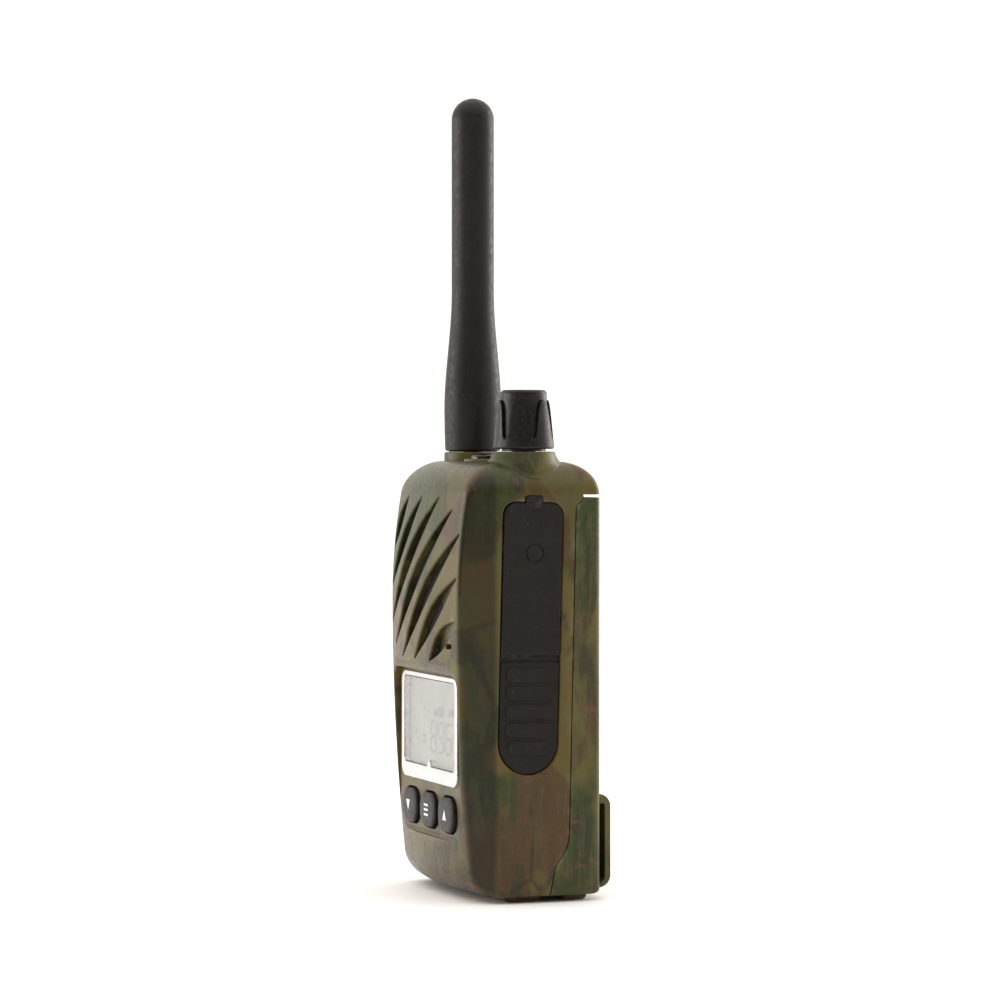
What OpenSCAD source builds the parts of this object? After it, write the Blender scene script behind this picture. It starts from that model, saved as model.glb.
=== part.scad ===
// Hand-held two-way radio: moulded casing, whip antenna, volume knob, rubber socket cover and slide-in battery.
// X runs to the right as the front is faced, Y runs to the back and Z runs up. The feet stand on Z = 0.

/* [Casing] */
// Width across the flat sides
case_w = 59; // [50:1:72]
// Height of the casing above its feet
case_h = 109; // [96:1:132]
// Distance from the front edge line to the back of the battery
case_d = 37.4; // [34:0.5:45]
// Width between the two edge lines of the front
front_w = 52; // [44:1:62]
// How far the front bows out at its middle
front_bow = 2.2; // [0.5:0.1:4]
// Thickness of the moulded walls
wall = 2; // [1.6:0.1:2.4]
// Radius round the top of the casing
top_r = 8.4; // [6:0.2:11]
// Height of the feet
foot_h = 1.6; // [1:0.1:3]

/* [Speaker grille] */
// Number of diagonal slots
slot_n = 7; // [5:1:9]
// Width of a slot at its middle
slot_w = 4.1; // [2.5:0.1:5]
// Slope of the slots from level
slot_slope = 42; // [35:1:50]
// Distance between slots
slot_pitch = 7.7; // [6.5:0.1:9]

/* [Display] */
// Width of the bezel
bezel_w = 43.4; // [36:0.2:46]
// Height of the bezel
bezel_h = 27.6; // [22:0.2:31]
// Height of the bezel's lower edge above the ground
bezel_z = 28.6; // [28:0.1:32]

/* [Keys] */
// Width of a front key
key_w = 11.8; // [9:0.1:12.4]
// Height of a front key
key_h = 8.8; // [7:0.1:9.6]
// Distance between key centres
key_pitch = 14.3; // [13.5:0.1:15]
// Height of the key row above the ground
key_z = 21.4; // [20.5:0.1:22]
// How far a front key travels
key_travel = 0.7; // [0.4:0.1:0.9]
// Length of the push-to-talk key
ptt_l = 31; // [24:1:37]
// How far a side key travels
side_travel = 0.8; // [0.4:0.1:0.9]

/* [Antenna] */
// Length of the antenna above the casing
antenna_l = 92.4; // [70:0.5:115]
// Radius of the antenna's upper part
antenna_r = 5.55; // [4.5:0.05:6.5]
// Radius of the antenna's foot
antenna_foot_r = 7.5; // [6.5:0.05:8]
// Distance of the antenna from the middle
antenna_x = 19.2; // [16:0.1:20]

/* [Knob] */
// Radius of the knob at its foot
knob_r = 7.75; // [6.5:0.05:8]
// Height of the knob
knob_h = 14.9; // [12:0.1:18]
// Number of finger grips round the knob
knob_grips = 6; // [5:1:8]
// Radius of the control's shaft
shaft_r = 3; // [2.5:0.1:3.2]

/* [Socket cover] */
// Width of the rubber cover
cover_w = 15.6; // [13:0.1:16.6]
// Height of the part that opens
flap_h = 38; // [32:0.5:40]
// Height of the fixed part
anchor_h = 28; // [24:0.5:30]
// Thickness of the rubber
rubber_t = 1.4; // [1.2:0.1:1.6]
// Radius of the larger socket
socket_a_r = 1.75; // [1.5:0.05:2]
// Radius of the smaller socket
socket_b_r = 1.25; // [1:0.05:1.5]

/* [Battery] */
// Depth of the battery's block inside the casing
tray_d = 5; // [4:0.5:6]
// Thickness of a cell
cell_t = 7.2; // [6:0.1:7.4]
// Gap above the battery
battery_gap = 0.55; // [0.3:0.05:1]
// Height of the strap loop
loop_h = 23.7; // [18:0.1:30]
// Gap for the strap
loop_gap = 1.7; // [1.2:0.1:3]

/* [Fits] */
// Clearance round keys and covers
key_gap = 0.3; // [0.2:0.05:0.35]
// Running clearance of a shaft in its bore
run_gap = 0.05; // [0.02:0.01:0.1]
// Clearance between fixed pieces
seat_gap = 0.2; // [0.1:0.05:0.3]

/* [Hidden] */
tiny = 0.01;

// Casing outline
half_w = case_w / 2;
base_z = foot_h;
top_z = foot_h + case_h;
crease_y = -19.5;
back_y = crease_y + case_d;
belly_z = 0.67 * case_h + foot_h;
belly_low_r = 640;
belly_high_r = 160;
side_crease_y = crease_y + 9.5;
back_corner_r = 2;
chin_z = 7.2;
chin_y = 5.4;
chin_x = 5.4;
sole_r = 1.4;
crease_hw = min(front_w / 2, half_w - 2);
bevel = [half_w - crease_hw, side_crease_y - crease_y];
bevel_n = [bevel[1], -bevel[0]] / norm(bevel);

// Panel round the display and keys
panel_y = crease_y + 1.9;
panel_back_y = panel_y + wall;
panel_hw = crease_hw - 1.3;
panel_z0 = key_z - 5.9;
panel_z1 = bezel_z + bezel_h + 2.2;

// Grille and speaker
grille_z0 = panel_z1 + 1.9;
grille_z1 = top_z - 8.9;
grille_z = (grille_z0 + grille_z1) / 2;
grille_hh = (grille_z1 - grille_z0) / 2;
grille_hw = crease_hw - 1;
speaker_z = grille_z;
speaker_r = min(grille_hh - 2.6, grille_hw - 7);
speaker_y = crease_y + 3.6;
speaker_d = 6.4;
cloth_t = 0.4;
mic_x = crease_hw - 4.8;
mic_z = grille_z0 + 4;
mic_r = 2;

// Layers behind the front, from the panel inwards
window_t = 1.1;
lcd_y = panel_back_y + 0.15;
lcd_t = 1.7;
light_t = 1.1;
board_y = lcd_y + lcd_t + light_t + 0.3;
board_t = 1.2;
key_proud = 1.3;
key_flange_y = panel_back_y + seat_gap;
key_flange_t = 0.5;
mat_y = key_flange_y + key_flange_t + key_travel + 0.1;
mat_t = 0.7;
switch_y = mat_y + mat_t + 0.05;

// Radio board, ledge, seal and chassis, from the front backwards
rboard_y = 0.2;
rboard_t = 1.4;
ledge_y = 1.9;
seal_y = 3.2;
chassis_y = 4;
chassis_t = 1.8;
ledge_in = 3;
bay_z0 = base_z + 11.6;
bay_z1 = top_z - 9.3;
shelf_z = bay_z1 + battery_gap + 1.6;
post_x = half_w - wall - ledge_in - 6;
post_z0 = bay_z0 + 4.5;
post_z1 = bay_z1 - 8;
posts = [[-post_x, post_z0], [post_x, post_z0], [-post_x, post_z1], [10, post_z1]];
rboard_hw = half_w - wall - ledge_in - 1.3;
screw_x = half_w - wall - 3.1;
screw_zs = [bay_z0 + 3.2, bay_z1 - 3.2];

// Top controls
control_y = 0.7;
collar_z = top_z + 2.5;
knob_z = collar_z + 0.65;
knob_top_r = knob_r - 1.6;
nut_z = top_z - wall - 1.9;
encoder_z = shelf_z + 0.15;
top_key_y = -2.8;
top_key_r = 3.5;
top_key_travel = 0.6;
top_ring_r = 5.4;
stud_r = 2.4;
core_r = 2.6;
bore_r = 3.9;
antenna_z = collar_z + 0.1;
antenna_tip_z = antenna_z + antenna_l;

// Rubber socket cover on the right-hand side
cover_tilt = 1.4;
cover_y = -1.3;
hinge_z = 61.35;
groove_h = 1.8;
cover_x0 = half_w - rubber_t + 0.1;
cover_x1 = half_w + 0.1;
recess_x = cover_x0 - 0.15;
socket_y = -0.85;
socket_zs = [hinge_z + 28.4, hinge_z + 14.2];
socket_rs = [socket_a_r, socket_b_r];
nozzle_r = 3.9;
mouth_r = 3;
mouth_d = 1.3;
block_x0 = half_w - 14;
block_x1 = half_w - 3.3;
bead_r = 0.28;
bead_x = cover_x1 - 0.3;

// Side keys on the left-hand side
ptt_z = 75;
call_z = 48;
call_l = 10;
side_key_d = 9;
side_key_y = -3.9;
side_proud = 1.1;
flange_x = half_w - wall - 0.15;
side_flange_t = 0.6;

// Battery
parting_gap = 0.2;
part_top_y = 11.1;
part_low_y = 9.3;
tray_y = 6.5;
tray_hw = half_w - wall - 2.2;
tray_z0 = bay_z0 + 1.3;
tray_z1 = bay_z1 - 1.1;
cover_wall = 1.6;
cell_y = tray_y + 1.4;
cell_z0 = tray_z0 + 15.5;
cell_z1 = tray_z1 - 4;
loop_t = 1.5;
loop_z = base_z + 1.4;
loop_hw = half_w - 2.2;
pin_xs = [-9, -3, 3, 9];
pin_z = tray_z0 + 6;
charge_y = back_y - 5.2;

// ---------------------------------------------------------------- helpers
function arc(c, r, a0, a1, n) = [for (i = [0:n]) let (a = a0 + (a1 - a0) * i / n) c + r * [cos(a), sin(a)]];
function round_rect(w, h, r, n = 5) = concat(
    arc([w / 2 - r, h / 2 - r], r, 0, 90, n), arc([r - w / 2, h / 2 - r], r, 90, 180, n),
    arc([r - w / 2, r - h / 2], r, 180, 270, n), arc([w / 2 - r, r - h / 2], r, 270, 360, n));
function shift(points, by) = [for (p = points) p + by];
function quarter(t) = 1 - sqrt(max(0, 1 - t * t));

module box(x, y, z) {
    translate([x[0], y[0], z[0]]) cube([x[1] - x[0], y[1] - y[0], z[1] - z[0]]);
}
// A flat outline in X and Z, drawn from one Y to another
module plate_y(points, y0, y1) {
    translate([0, y1, 0]) rotate([90, 0, 0]) linear_extrude(y1 - y0) polygon(points);
}
// A flat outline in Y and Z, drawn from one X to another
module plate_x(points, x0, x1) {
    translate([x0, 0, 0]) rotate([90, 0, 90]) linear_extrude(x1 - x0) polygon(points);
}
module rod_y(x, z, r, y0, y1, fn = 48) {
    translate([x, y1, z]) rotate([90, 0, 0]) cylinder(r = r, h = y1 - y0, $fn = fn);
}
module rod_x(y, z, r, x0, x1, fn = 48) {
    translate([x0, y, z]) rotate([0, 90, 0]) cylinder(r = r, h = x1 - x0, $fn = fn);
}
module rod_z(x, y, r, z0, z1, fn = 48) {
    translate([x, y, z0]) cylinder(r = r, h = z1 - z0, $fn = fn);
}

// ---------------------------------------------------------------- casing form
function front_line(z) = crease_y
    + (z < belly_z ? pow(belly_z - z, 2) / (2 * belly_low_r) : pow(z - belly_z, 2) / (2 * belly_high_r));
function inner_face(x, z) = front_line(z) + wall - front_bow * (1 - pow(x / (crease_hw - 0.7 * wall), 2));
function top_inset(z, off) = (top_r - off) * quarter(max(0, z - (top_z - top_r)) / (top_r - off));
function chin(z) = quarter(max(0, base_z + chin_z - z) / chin_z);
function sole_inset(z) = sole_r * quarter(max(0, base_z + sole_r - z) / sole_r);

// One level outline of the casing, drawn in by off
function section(z, off) = let (
    d = off + top_inset(z, off), s = d + sole_inset(z), k = chin(z),
    by = front_line(z) + d + chin_y * k,
    bx = crease_hw - d * (1 + bevel_n[1]) / bevel_n[0] - chin_x * k,
    cy = max(side_crease_y - d * (1 - bevel_n[0]) / bevel_n[1], by + 0.1),
    cx = half_w - s, yb = back_y - s, rc = max(0.3, back_corner_r - off),
    right = concat([[cx, cy]], arc([cx - rc, yb - rc], rc, 0, 90, 4)), n = 12)
    concat([for (i = [0:n]) let (u = -1 + 2 * i / n) [bx * u, by - front_bow * (1 - u * u)]],
        right, [for (i = [len(right) - 1:-1:0]) [-right[i][0], right[i][1]]]);

level_list = concat([for (a = [15:15:90]) base_z + sole_r * (1 - cos(a))],
    [for (i = [1:5]) base_z + sole_r + (chin_z - sole_r) * i / 5],
    [for (i = [1:11]) base_z + chin_z + (top_z - top_r - base_z - chin_z) * i / 11],
    [for (a = [12:12:72]) top_z - top_r + top_r * sin(a)]);
function levels(z0, z1) = concat([z0], [for (z = level_list) if (z > z0 + 0.02 && z < z1 - 0.04) z], [z1]);

module casing_form(off = 0) {
    zs = levels(base_z + off, top_z - off);
    rings = [for (z = zs) section(z, off)];
    m = len(rings[0]);
    n = len(zs);
    polyhedron(
        points = [for (k = [0:n - 1]) for (p = rings[k]) [p[0], p[1], zs[k]]],
        faces = concat([[for (i = [0:m - 1]) i]],
            [for (k = [0:n - 2]) for (i = [0:m - 1]) let (j = (i + 1) % m)
                [k * m + i, (k + 1) * m + i, (k + 1) * m + j, k * m + j]],
            [[for (i = [m - 1:-1:0]) (n - 1) * m + i]]), convexity = 6);
}

// The line where the battery meets the casing, seen from the side
function parting(g) = [
    [3.7 - g, base_z - 3], [4.6 - g, base_z + 2.9], [5.6 - g, base_z + 7.4], [8.6 - g, base_z + 11.9],
    [part_low_y - g, base_z + 14.9], [part_top_y - g, bay_z1 - 1.9], [13.2 - g, bay_z1 + 0.3]];
module casing_side() {
    plate_x(concat(parting(parting_gap), [[13.2 - parting_gap, bay_z1 + 0.3 + battery_gap],
        [back_y + 9, bay_z1 + 0.3 + battery_gap], [back_y + 9, top_z + 9],
        [crease_y - 19, top_z + 9], [crease_y - 19, base_z - 3]]), -half_w - 9, half_w + 9);
}
module battery_side() {
    plate_x(concat(parting(0), [[back_y + 9, bay_z1 + 0.3], [back_y + 9, base_z - 3]]), -half_w - 9, half_w + 9);
}

// ---------------------------------------------------------------- grille
slot_u = [cos(slot_slope), sin(slot_slope)];
slot_v = [sin(slot_slope), -cos(slot_slope)];
function slot_reach(d) = min((grille_hw - d * slot_v[0]) / slot_u[0], (grille_hh - d * slot_v[1]) / slot_u[1],
    1.28 * grille_hh);
function slot_tips(i) = let (d = slot_pitch * (i - (slot_n - 1) / 2), hi = d * 1.06, lo = d * 0.94)
    [[0, grille_z] + lo * slot_v - slot_reach(-lo) * slot_u, [0, grille_z] + hi * slot_v + slot_reach(hi) * slot_u];
// A slot's outline: two bowed edges that meet in a point at each tip
function slot_outline(i, w, n = 8) = let (t = slot_tips(i), a = t[0], b = t[1], v = (b - a) / norm(b - a),
    side = [-v[1], v[0]], l = norm(b - a), wide = min(w, l / 3.2))
    concat([for (k = [0:n]) let (s = k / n) a + (b - a) * s + side * (0.62 * wide * sin(180 * s) + 0.1)],
        [for (k = [n:-1:0]) let (s = k / n) a + (b - a) * s - side * (0.38 * wide * sin(180 * s) + 0.1)]);

// ---------------------------------------------------------------- front casing
function cover_outline(g, z0, z1) = let (w = cover_w / 2 + g, zlow = hinge_z - groove_h / 2 - anchor_h)
    concat(z0 < hinge_z - groove_h ? arc([0, zlow + cover_w / 2], w, 180, 360, 12) : [[-w, z0], [w, z0]],
        z1 > hinge_z + groove_h ? concat(arc([w - 3.4, z1 + g - 3.4], 3.4, 0, 90, 5),
            arc([3.4 - w, z1 + g - 3.4], 3.4, 90, 180, 5)) : [[w, z1], [-w, z1]]);
// The cover leans back slightly, about its hinge line
module lean_cover() {
    translate([0, cover_y, hinge_z]) rotate([-cover_tilt, 0, 0]) translate([0, 0, -hinge_z]) children();
}
flap_z0 = hinge_z + groove_h / 2;
flap_z1 = flap_z0 + flap_h;
anchor_z1 = hinge_z - groove_h / 2;
anchor_z0 = anchor_z1 - anchor_h;
module tab(g, x0, x1) {
    plate_x(shift(round_rect(4.4 + 2 * g, 4.4, 0.7), [0, flap_z1 + 0.4]), x0, x1);
}
module cover_recess() {
    lean_cover() {
        plate_x(cover_outline(key_gap - 0.05, anchor_z0, flap_z1), recess_x, half_w + 5);
        tab(key_gap - 0.05, recess_x + 0.6, half_w + 5);
    }
}
module side_hole(z, l, g) {
    plate_x(shift(round_rect(side_key_d + 2 * g, l + 2 * g, 3 + g), [side_key_y, z]), -half_w - 5, -half_w + wall + 1);
}
module front_case() color([0.33, 0.33, 0.22]) difference() {
    union() {
        intersection() {
            casing_form();
            casing_side();
        }
        intersection() {
            union() {
                translate([antenna_x, control_y, top_z - 1]) cylinder(r1 = knob_r + 1.2, r2 = knob_r, h = 3.5, $fn = 48);
                translate([antenna_x, control_y, top_z - 4.7]) cylinder(r = knob_r + 1.2, h = 3.7 + tiny, $fn = 48);
                translate([-antenna_x, control_y, top_z - 4.7]) cylinder(r = antenna_foot_r, h = 7, $fn = 48);
            }
            box([-half_w, half_w], [crease_y, back_y], [top_z - 4.7, collar_z]);
        }
    }
    difference() {
        intersection() {
            casing_form(wall);
            union() {
                box([-half_w, half_w], [crease_y - 9, ledge_y], [base_z, top_z]);
                box([-half_w, half_w], [ledge_y - 1, back_y], [shelf_z, top_z]);
            }
        }
        box([-half_w, half_w], [crease_y - 9, panel_back_y], [panel_z0 - 2, panel_z1 + 2]);
        difference() {
            rod_y(0, speaker_z, speaker_r + seat_gap + 1.5, crease_y - 9, speaker_y + 4);
            rod_y(0, speaker_z, speaker_r + seat_gap, crease_y - 10, speaker_y + 5);
        }
        difference() {
            rod_y(mic_x, mic_z, mic_r + 2.2, crease_y - 9, speaker_y + 1.4, 32);
            rod_y(mic_x, mic_z, mic_r + 1.1, crease_y - 10, speaker_y + 2, 32);
        }
        for (x = [-screw_x, screw_x], z = screw_zs) rod_y(x, z, 2.8, ledge_y - 7, ledge_y + 1, 32);
        box([half_w - 3.2, half_w], [cover_y - cover_w / 2 - 1.5, ledge_y + 1], [anchor_z0 - 1.5, flap_z1 + 3.5]);
    }
    box([ledge_in + wall - half_w, half_w - wall - ledge_in], [ledge_y - 1, seal_y + 1], [bay_z0 + 1.6, bay_z1 - 1.6]);
    for (x = [-screw_x, screw_x], z = screw_zs) rod_y(x, z, 1.05, ledge_y - 5.5, seal_y + 1, 24);
    box([wall - half_w, half_w - wall], [seal_y, back_y], [bay_z0, bay_z1]);
    plate_y(shift(round_rect(panel_hw * 2, panel_z1 - panel_z0, 4), [0, (panel_z0 + panel_z1) / 2]),
        crease_y - 9, panel_y);
    plate_y(shift(round_rect(bezel_w - 2.4, bezel_h - 3.6, 2), [0, bezel_z + bezel_h / 2 + 0.9]), crease_y - 9, 0);
    for (i = [-1:1]) plate_y(shift(round_rect(key_w + 2 * key_gap, key_h + 2 * key_gap, 4),
        [i * key_pitch, key_z]), crease_y - 9, 0);
    for (i = [0:slot_n - 1]) plate_y(slot_outline(i, slot_w), crease_y - 9, speaker_y + 1);
    plate_y(shift(round_rect(3.3, 1.4, 0.65), [mic_x, mic_z]), crease_y - 9, speaker_y + 1);
    cover_recess();
    for (z = socket_zs) rod_x(socket_y, z, nozzle_r + 0.15, half_w - 5, half_w, 32);
    lean_cover() for (z = [anchor_z0 + 7, anchor_z1 - 6]) rod_x(0, z, 1.6, half_w - 5, half_w, 24);
    side_hole(ptt_z, ptt_l, key_gap);
    side_hole(call_z, call_l, key_gap);
    rod_z(antenna_x, control_y, shaft_r + 0.85, top_z - 5, top_z + 9, 32);
    rod_z(-antenna_x, control_y, stud_r + 0.15, top_z - 5, top_z + 9, 32);
    rod_z(0, top_key_y, top_key_r + key_gap, top_z - 5, top_z + 9, 40);
}

// ---------------------------------------------------------------- speaker and microphone
// Woven cloth that lines the inside of the grille
cloth_n = 8;
cloth_hw = grille_hw - 2.5;
cloth_z0 = grille_z0 + 0.5;
cloth_z1 = grille_z1 + 1;
cloth_m = cloth_n + 1;
cloth_q = cloth_m * cloth_m;
function cloth_spot(i, k, o) = let (x = -cloth_hw + 2 * cloth_hw * i / cloth_n,
    z = cloth_z0 + (cloth_z1 - cloth_z0) * k / cloth_n)
    [x, inner_face(x, z) + 0.12 + o, z];
function cloth_points(o) = [for (k = [0:cloth_n]) for (i = [0:cloth_n]) cloth_spot(i, k, o)];
function cloth_sheet(a, front) = [for (k = [0:cloth_n - 1]) for (i = [0:cloth_n - 1])
    let (p = a + k * cloth_m + i) each (front ? [[p, p + cloth_m, p + 1], [p + 1, p + cloth_m, p + cloth_m + 1]]
        : [[p, p + 1, p + cloth_m], [p + 1, p + cloth_m + 1, p + cloth_m]])];
cloth_rim = concat([for (i = [0:cloth_n - 1]) [i, i + 1]],
    [for (k = [0:cloth_n - 1]) [k * cloth_m + cloth_n, (k + 1) * cloth_m + cloth_n]],
    [for (i = [cloth_n:-1:1]) [cloth_n * cloth_m + i, cloth_n * cloth_m + i - 1]],
    [for (k = [cloth_n:-1:1]) [k * cloth_m, (k - 1) * cloth_m]]);
module grille_cloth() color([0.06, 0.06, 0.06]) difference() {
    polyhedron(concat(cloth_points(0), cloth_points(cloth_t)), concat(cloth_sheet(0, true),
        cloth_sheet(cloth_q, false), [for (e = cloth_rim) each
            [[e[1] + cloth_q, e[1], e[0]], [e[0] + cloth_q, e[1] + cloth_q, e[0]]]]));
    difference() {
        box([-99, 99], [crease_y - 9, 0], [-99, 299]);
        rod_y(0, speaker_z, speaker_r + seat_gap - 0.3, crease_y - 10, 1);
    }
}
module speaker_gasket() color([0.15, 0.15, 0.15]) difference() {
    rod_y(0, speaker_z, speaker_r, speaker_y - 0.9, speaker_y);
    rod_y(0, speaker_z, speaker_r - 1.6, speaker_y - 2, speaker_y + 1);
}
module speaker_frame() color([0.55, 0.55, 0.58]) difference() {
    union() {
        rod_y(0, speaker_z, speaker_r, speaker_y, speaker_y + 1.4);
        rod_y(0, speaker_z, speaker_r - 2.5, speaker_y + 1, speaker_y + 4);
    }
    rod_y(0, speaker_z, speaker_r - 3.2, speaker_y - 1, speaker_y + 3.2);
    rod_y(0, speaker_z, speaker_r * 0.4, speaker_y, speaker_y + 9);
}
module speaker_cone() color([0.1, 0.1, 0.1]) translate([0, speaker_y + 0.2, speaker_z]) rotate([-90, 0, 0])
    rotate_extrude($fn = 48) polygon([[0, 1.6], [speaker_r * 0.25, 1.9], [speaker_r * 0.36, 2.6],
        [speaker_r - 5, 0.5], [speaker_r - 3.5, 0.4], [speaker_r - 3.5, 0.8], [speaker_r - 5, 0.9],
        [speaker_r * 0.36, 2.9], [speaker_r * 0.3, 2.9], [0, 1.9]]);
module speaker_magnet() color([0.35, 0.35, 0.37])
    rod_y(0, speaker_z, speaker_r * 0.55, speaker_y + 4, speaker_y + speaker_d);
module mic_boot() color([0.08, 0.08, 0.08]) difference() {
    rod_y(mic_x, mic_z, mic_r + 0.95, speaker_y - 0.6, speaker_y + 1.4);
    rod_y(mic_x, mic_z, mic_r + run_gap, speaker_y + 0.2, speaker_y + 2);
    rod_y(mic_x, mic_z, 1, speaker_y - 2, speaker_y + 2);
}
module mic_capsule() color([0.7, 0.7, 0.7]) rod_y(mic_x, mic_z, mic_r, speaker_y + 0.25, speaker_y + 2.4);

// ---------------------------------------------------------------- display
module display_bezel() color([0.85, 0.85, 0.87]) difference() {
    zc = bezel_z + bezel_h / 2;
    union() {
        plate_y(shift(round_rect(bezel_w, bezel_h, 3), [0, zc]), panel_y - 0.6, panel_y);
        plate_y(shift(round_rect(bezel_w - 2.8, bezel_h - 4, 1.8), [0, zc + 0.9]), panel_y - 0.3, panel_back_y - 0.1);
    }
    plate_y(shift(round_rect(bezel_w - 4.6, bezel_h - 5.8, 1.4), [0, zc + 0.9]), panel_y - 9, 0);
}
module display_window() color([0.75, 0.8, 0.82, 0.4])
    plate_y(shift(round_rect(bezel_w - 4.8, bezel_h - 6, 1.3), [0, bezel_z + bezel_h / 2 + 0.9]),
        panel_y - 0.4, panel_y - 0.4 + window_t);
module lcd_glass() color([0.62, 0.65, 0.6])
    plate_y(shift(round_rect(bezel_w - 3, bezel_h - 3, 0.5), [0, bezel_z + bezel_h / 2 + 0.6]), lcd_y, lcd_y + lcd_t);
module lcd_backlight() color([0.92, 0.92, 0.9])
    plate_y(shift(round_rect(bezel_w - 1.6, bezel_h - 1, 0.5), [0, bezel_z + bezel_h / 2 + 0.6]),
        lcd_y + lcd_t, lcd_y + lcd_t + light_t);
module display_board() color([0.1, 0.35, 0.2]) difference() {
    box([3 - crease_hw, crease_hw - 3], [board_y, board_y + board_t], [key_z - 8, panel_z1 - 0.5]);
    rod_y(0, speaker_z, speaker_r * 0.55 + 1, board_y - 1, board_y + 3);
}
module key_switches() color([0.7, 0.7, 0.68])
    for (i = [-1:1]) rod_y(i * key_pitch, key_z, 2.4, switch_y, board_y, 32);
module keypad_mat() color([0.2, 0.2, 0.2])
    plate_y(shift(round_rect(2 * key_pitch + key_w, key_h + 1.4, 2), [0, key_z]), mat_y, mat_y + mat_t);

module front_key(i) color([0.07, 0.07, 0.07]) {
    plate_y(shift(round_rect(key_w, key_h, 3.8), [i * key_pitch, key_z]), panel_y - key_proud, key_flange_y);
    plate_y(shift(round_rect(key_w + 1.6, key_h + 1.2, 3), [i * key_pitch, key_z]),
        key_flange_y - tiny, key_flange_y + key_flange_t);
}
module key_down() front_key(-1);
module key_menu() front_key(0);
module key_up() front_key(1);

// ---------------------------------------------------------------- boards and chassis
module radio_board() color([0.08, 0.32, 0.2]) difference() {
    union() {
        box([-rboard_hw, rboard_hw], [rboard_y, rboard_y + rboard_t], [bay_z0 + 2.4, bay_z1 - 4.5]);
        box([-7, 7], [rboard_y, rboard_y + rboard_t], [bay_z1 - 5, bay_z1 + 0.4]);
    }
    box([block_x0 - 0.6, half_w], [rboard_y - 1, rboard_y + 3], [socket_zs[1] - 5.4, socket_zs[0] + 5.4]);
    for (p = posts) rod_y(p[0], p[1], 1.2, rboard_y - 1, rboard_y + 3);
    for (x = [-screw_x, screw_x], z = screw_zs) rod_y(x, z, 3.1, rboard_y - 1, rboard_y + 3);
}
module board_screws() color([0.75, 0.75, 0.77]) for (p = posts) {
    rod_y(p[0], p[1], 1.9, rboard_y - 1.2, rboard_y, 32);
    rod_y(p[0], p[1], 1, rboard_y - tiny, rboard_y + rboard_t + 2, 32);
}
module shield_can() color([0.78, 0.78, 0.8])
    box([-18, 12], [rboard_y - 3.2, rboard_y], [socket_zs[1] - 34, socket_zs[1] - 9]);
module board_chips() color([0.06, 0.06, 0.06]) {
    box([-15, -5], [rboard_y - 1.2, rboard_y], [socket_zs[1] - 5, socket_zs[1] + 5]);
    box([0, 8], [rboard_y - 1.4, rboard_y], [socket_zs[1] - 4, socket_zs[1] + 6]);
    box([-16, -8], [rboard_y - 1.6, rboard_y], [socket_zs[0] - 4, socket_zs[0] + 2]);
    box([13.6, 17], [rboard_y - 2.4, rboard_y], [socket_zs[1] - 26, socket_zs[1] - 14]);
}
module board_link() color([0.9, 0.88, 0.8])
    box([-8, 8], [board_y + board_t, rboard_y], [bay_z0 + 4, bay_z0 + 7.5]);
module socket_block() color([0.12, 0.12, 0.12]) difference() {
    union() {
        box([block_x0, block_x1], [socket_y - 4, ledge_y - 0.15], [socket_zs[1] - 5, socket_zs[0] + 5]);
        for (z = socket_zs) rod_x(socket_y, z, nozzle_r, block_x1 - tiny, recess_x - 0.05);
    }
    for (i = [0:1]) {
        rod_x(socket_y, socket_zs[i], socket_rs[i], block_x0 + 1, half_w);
        rod_x(socket_y, socket_zs[i], mouth_r, recess_x - 0.05 - mouth_d, half_w);
    }
}
module chassis() color([0.66, 0.67, 0.68]) difference() {
    union() {
        box([0.3 + wall - half_w, half_w - wall - 0.3], [chassis_y, chassis_y + chassis_t], [bay_z0 + 0.3, bay_z1 - 0.3]);
        for (p = posts) rod_y(p[0], p[1], 2.2, rboard_y + rboard_t, chassis_y + tiny);
    }
    for (x = [-screw_x, screw_x], z = screw_zs) {
        rod_y(x, z, 1.15, chassis_y - 1, chassis_y + 3);
        rod_y(x, z, 2.1, chassis_y + chassis_t - 1, chassis_y + 3);
    }
    for (p = posts) rod_y(p[0], p[1], 1.05, rboard_y, rboard_y + rboard_t + 2.1, 24);
    box([pin_xs[0] - 2.6, pin_xs[3] + 2.6], [chassis_y - 1, chassis_y + 3], [pin_z - 2.6, pin_z + 2.6]);
}
module chassis_seal() color([0.25, 0.25, 0.26]) difference() {
    box([0.4 + wall - half_w, half_w - wall - 0.4], [seal_y, chassis_y], [bay_z0 + 0.4, bay_z1 - 0.4]);
    box([ledge_in - 0.6 + wall - half_w, half_w - wall - ledge_in + 0.6], [seal_y - 1, chassis_y + 1],
        [bay_z0 + 1.3, bay_z1 - 1.3]);
    for (x = [-screw_x, screw_x], z = screw_zs) rod_y(x, z, 1.2, seal_y - 1, chassis_y + 1);
}
module chassis_screws() color([0.75, 0.75, 0.77]) for (x = [-screw_x, screw_x], z = screw_zs) {
    rod_y(x, z, 1.95, chassis_y + chassis_t - 0.95, chassis_y + chassis_t - 0.05, 32);
    rod_y(x, z, 1, ledge_y - 5, chassis_y + chassis_t - 0.94, 32);
}
module contact_block() color([0.15, 0.15, 0.15]) difference() {
    box([pin_xs[0] - 2.4, pin_xs[3] + 2.4], [rboard_y + rboard_t, chassis_y + chassis_t], [pin_z - 2.4, pin_z + 2.4]);
    for (x = pin_xs) rod_y(x, pin_z, 0.85, rboard_y, chassis_y + 9, 32);
}
module contact_pins() color([0.85, 0.7, 0.35]) for (x = pin_xs) {
    rod_y(x, pin_z, 0.8, rboard_y + rboard_t, chassis_y + chassis_t - 0.2, 32);
    rod_y(x, pin_z, 0.55, chassis_y + chassis_t - 0.21, tray_y - 0.1, 32);
}

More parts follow.
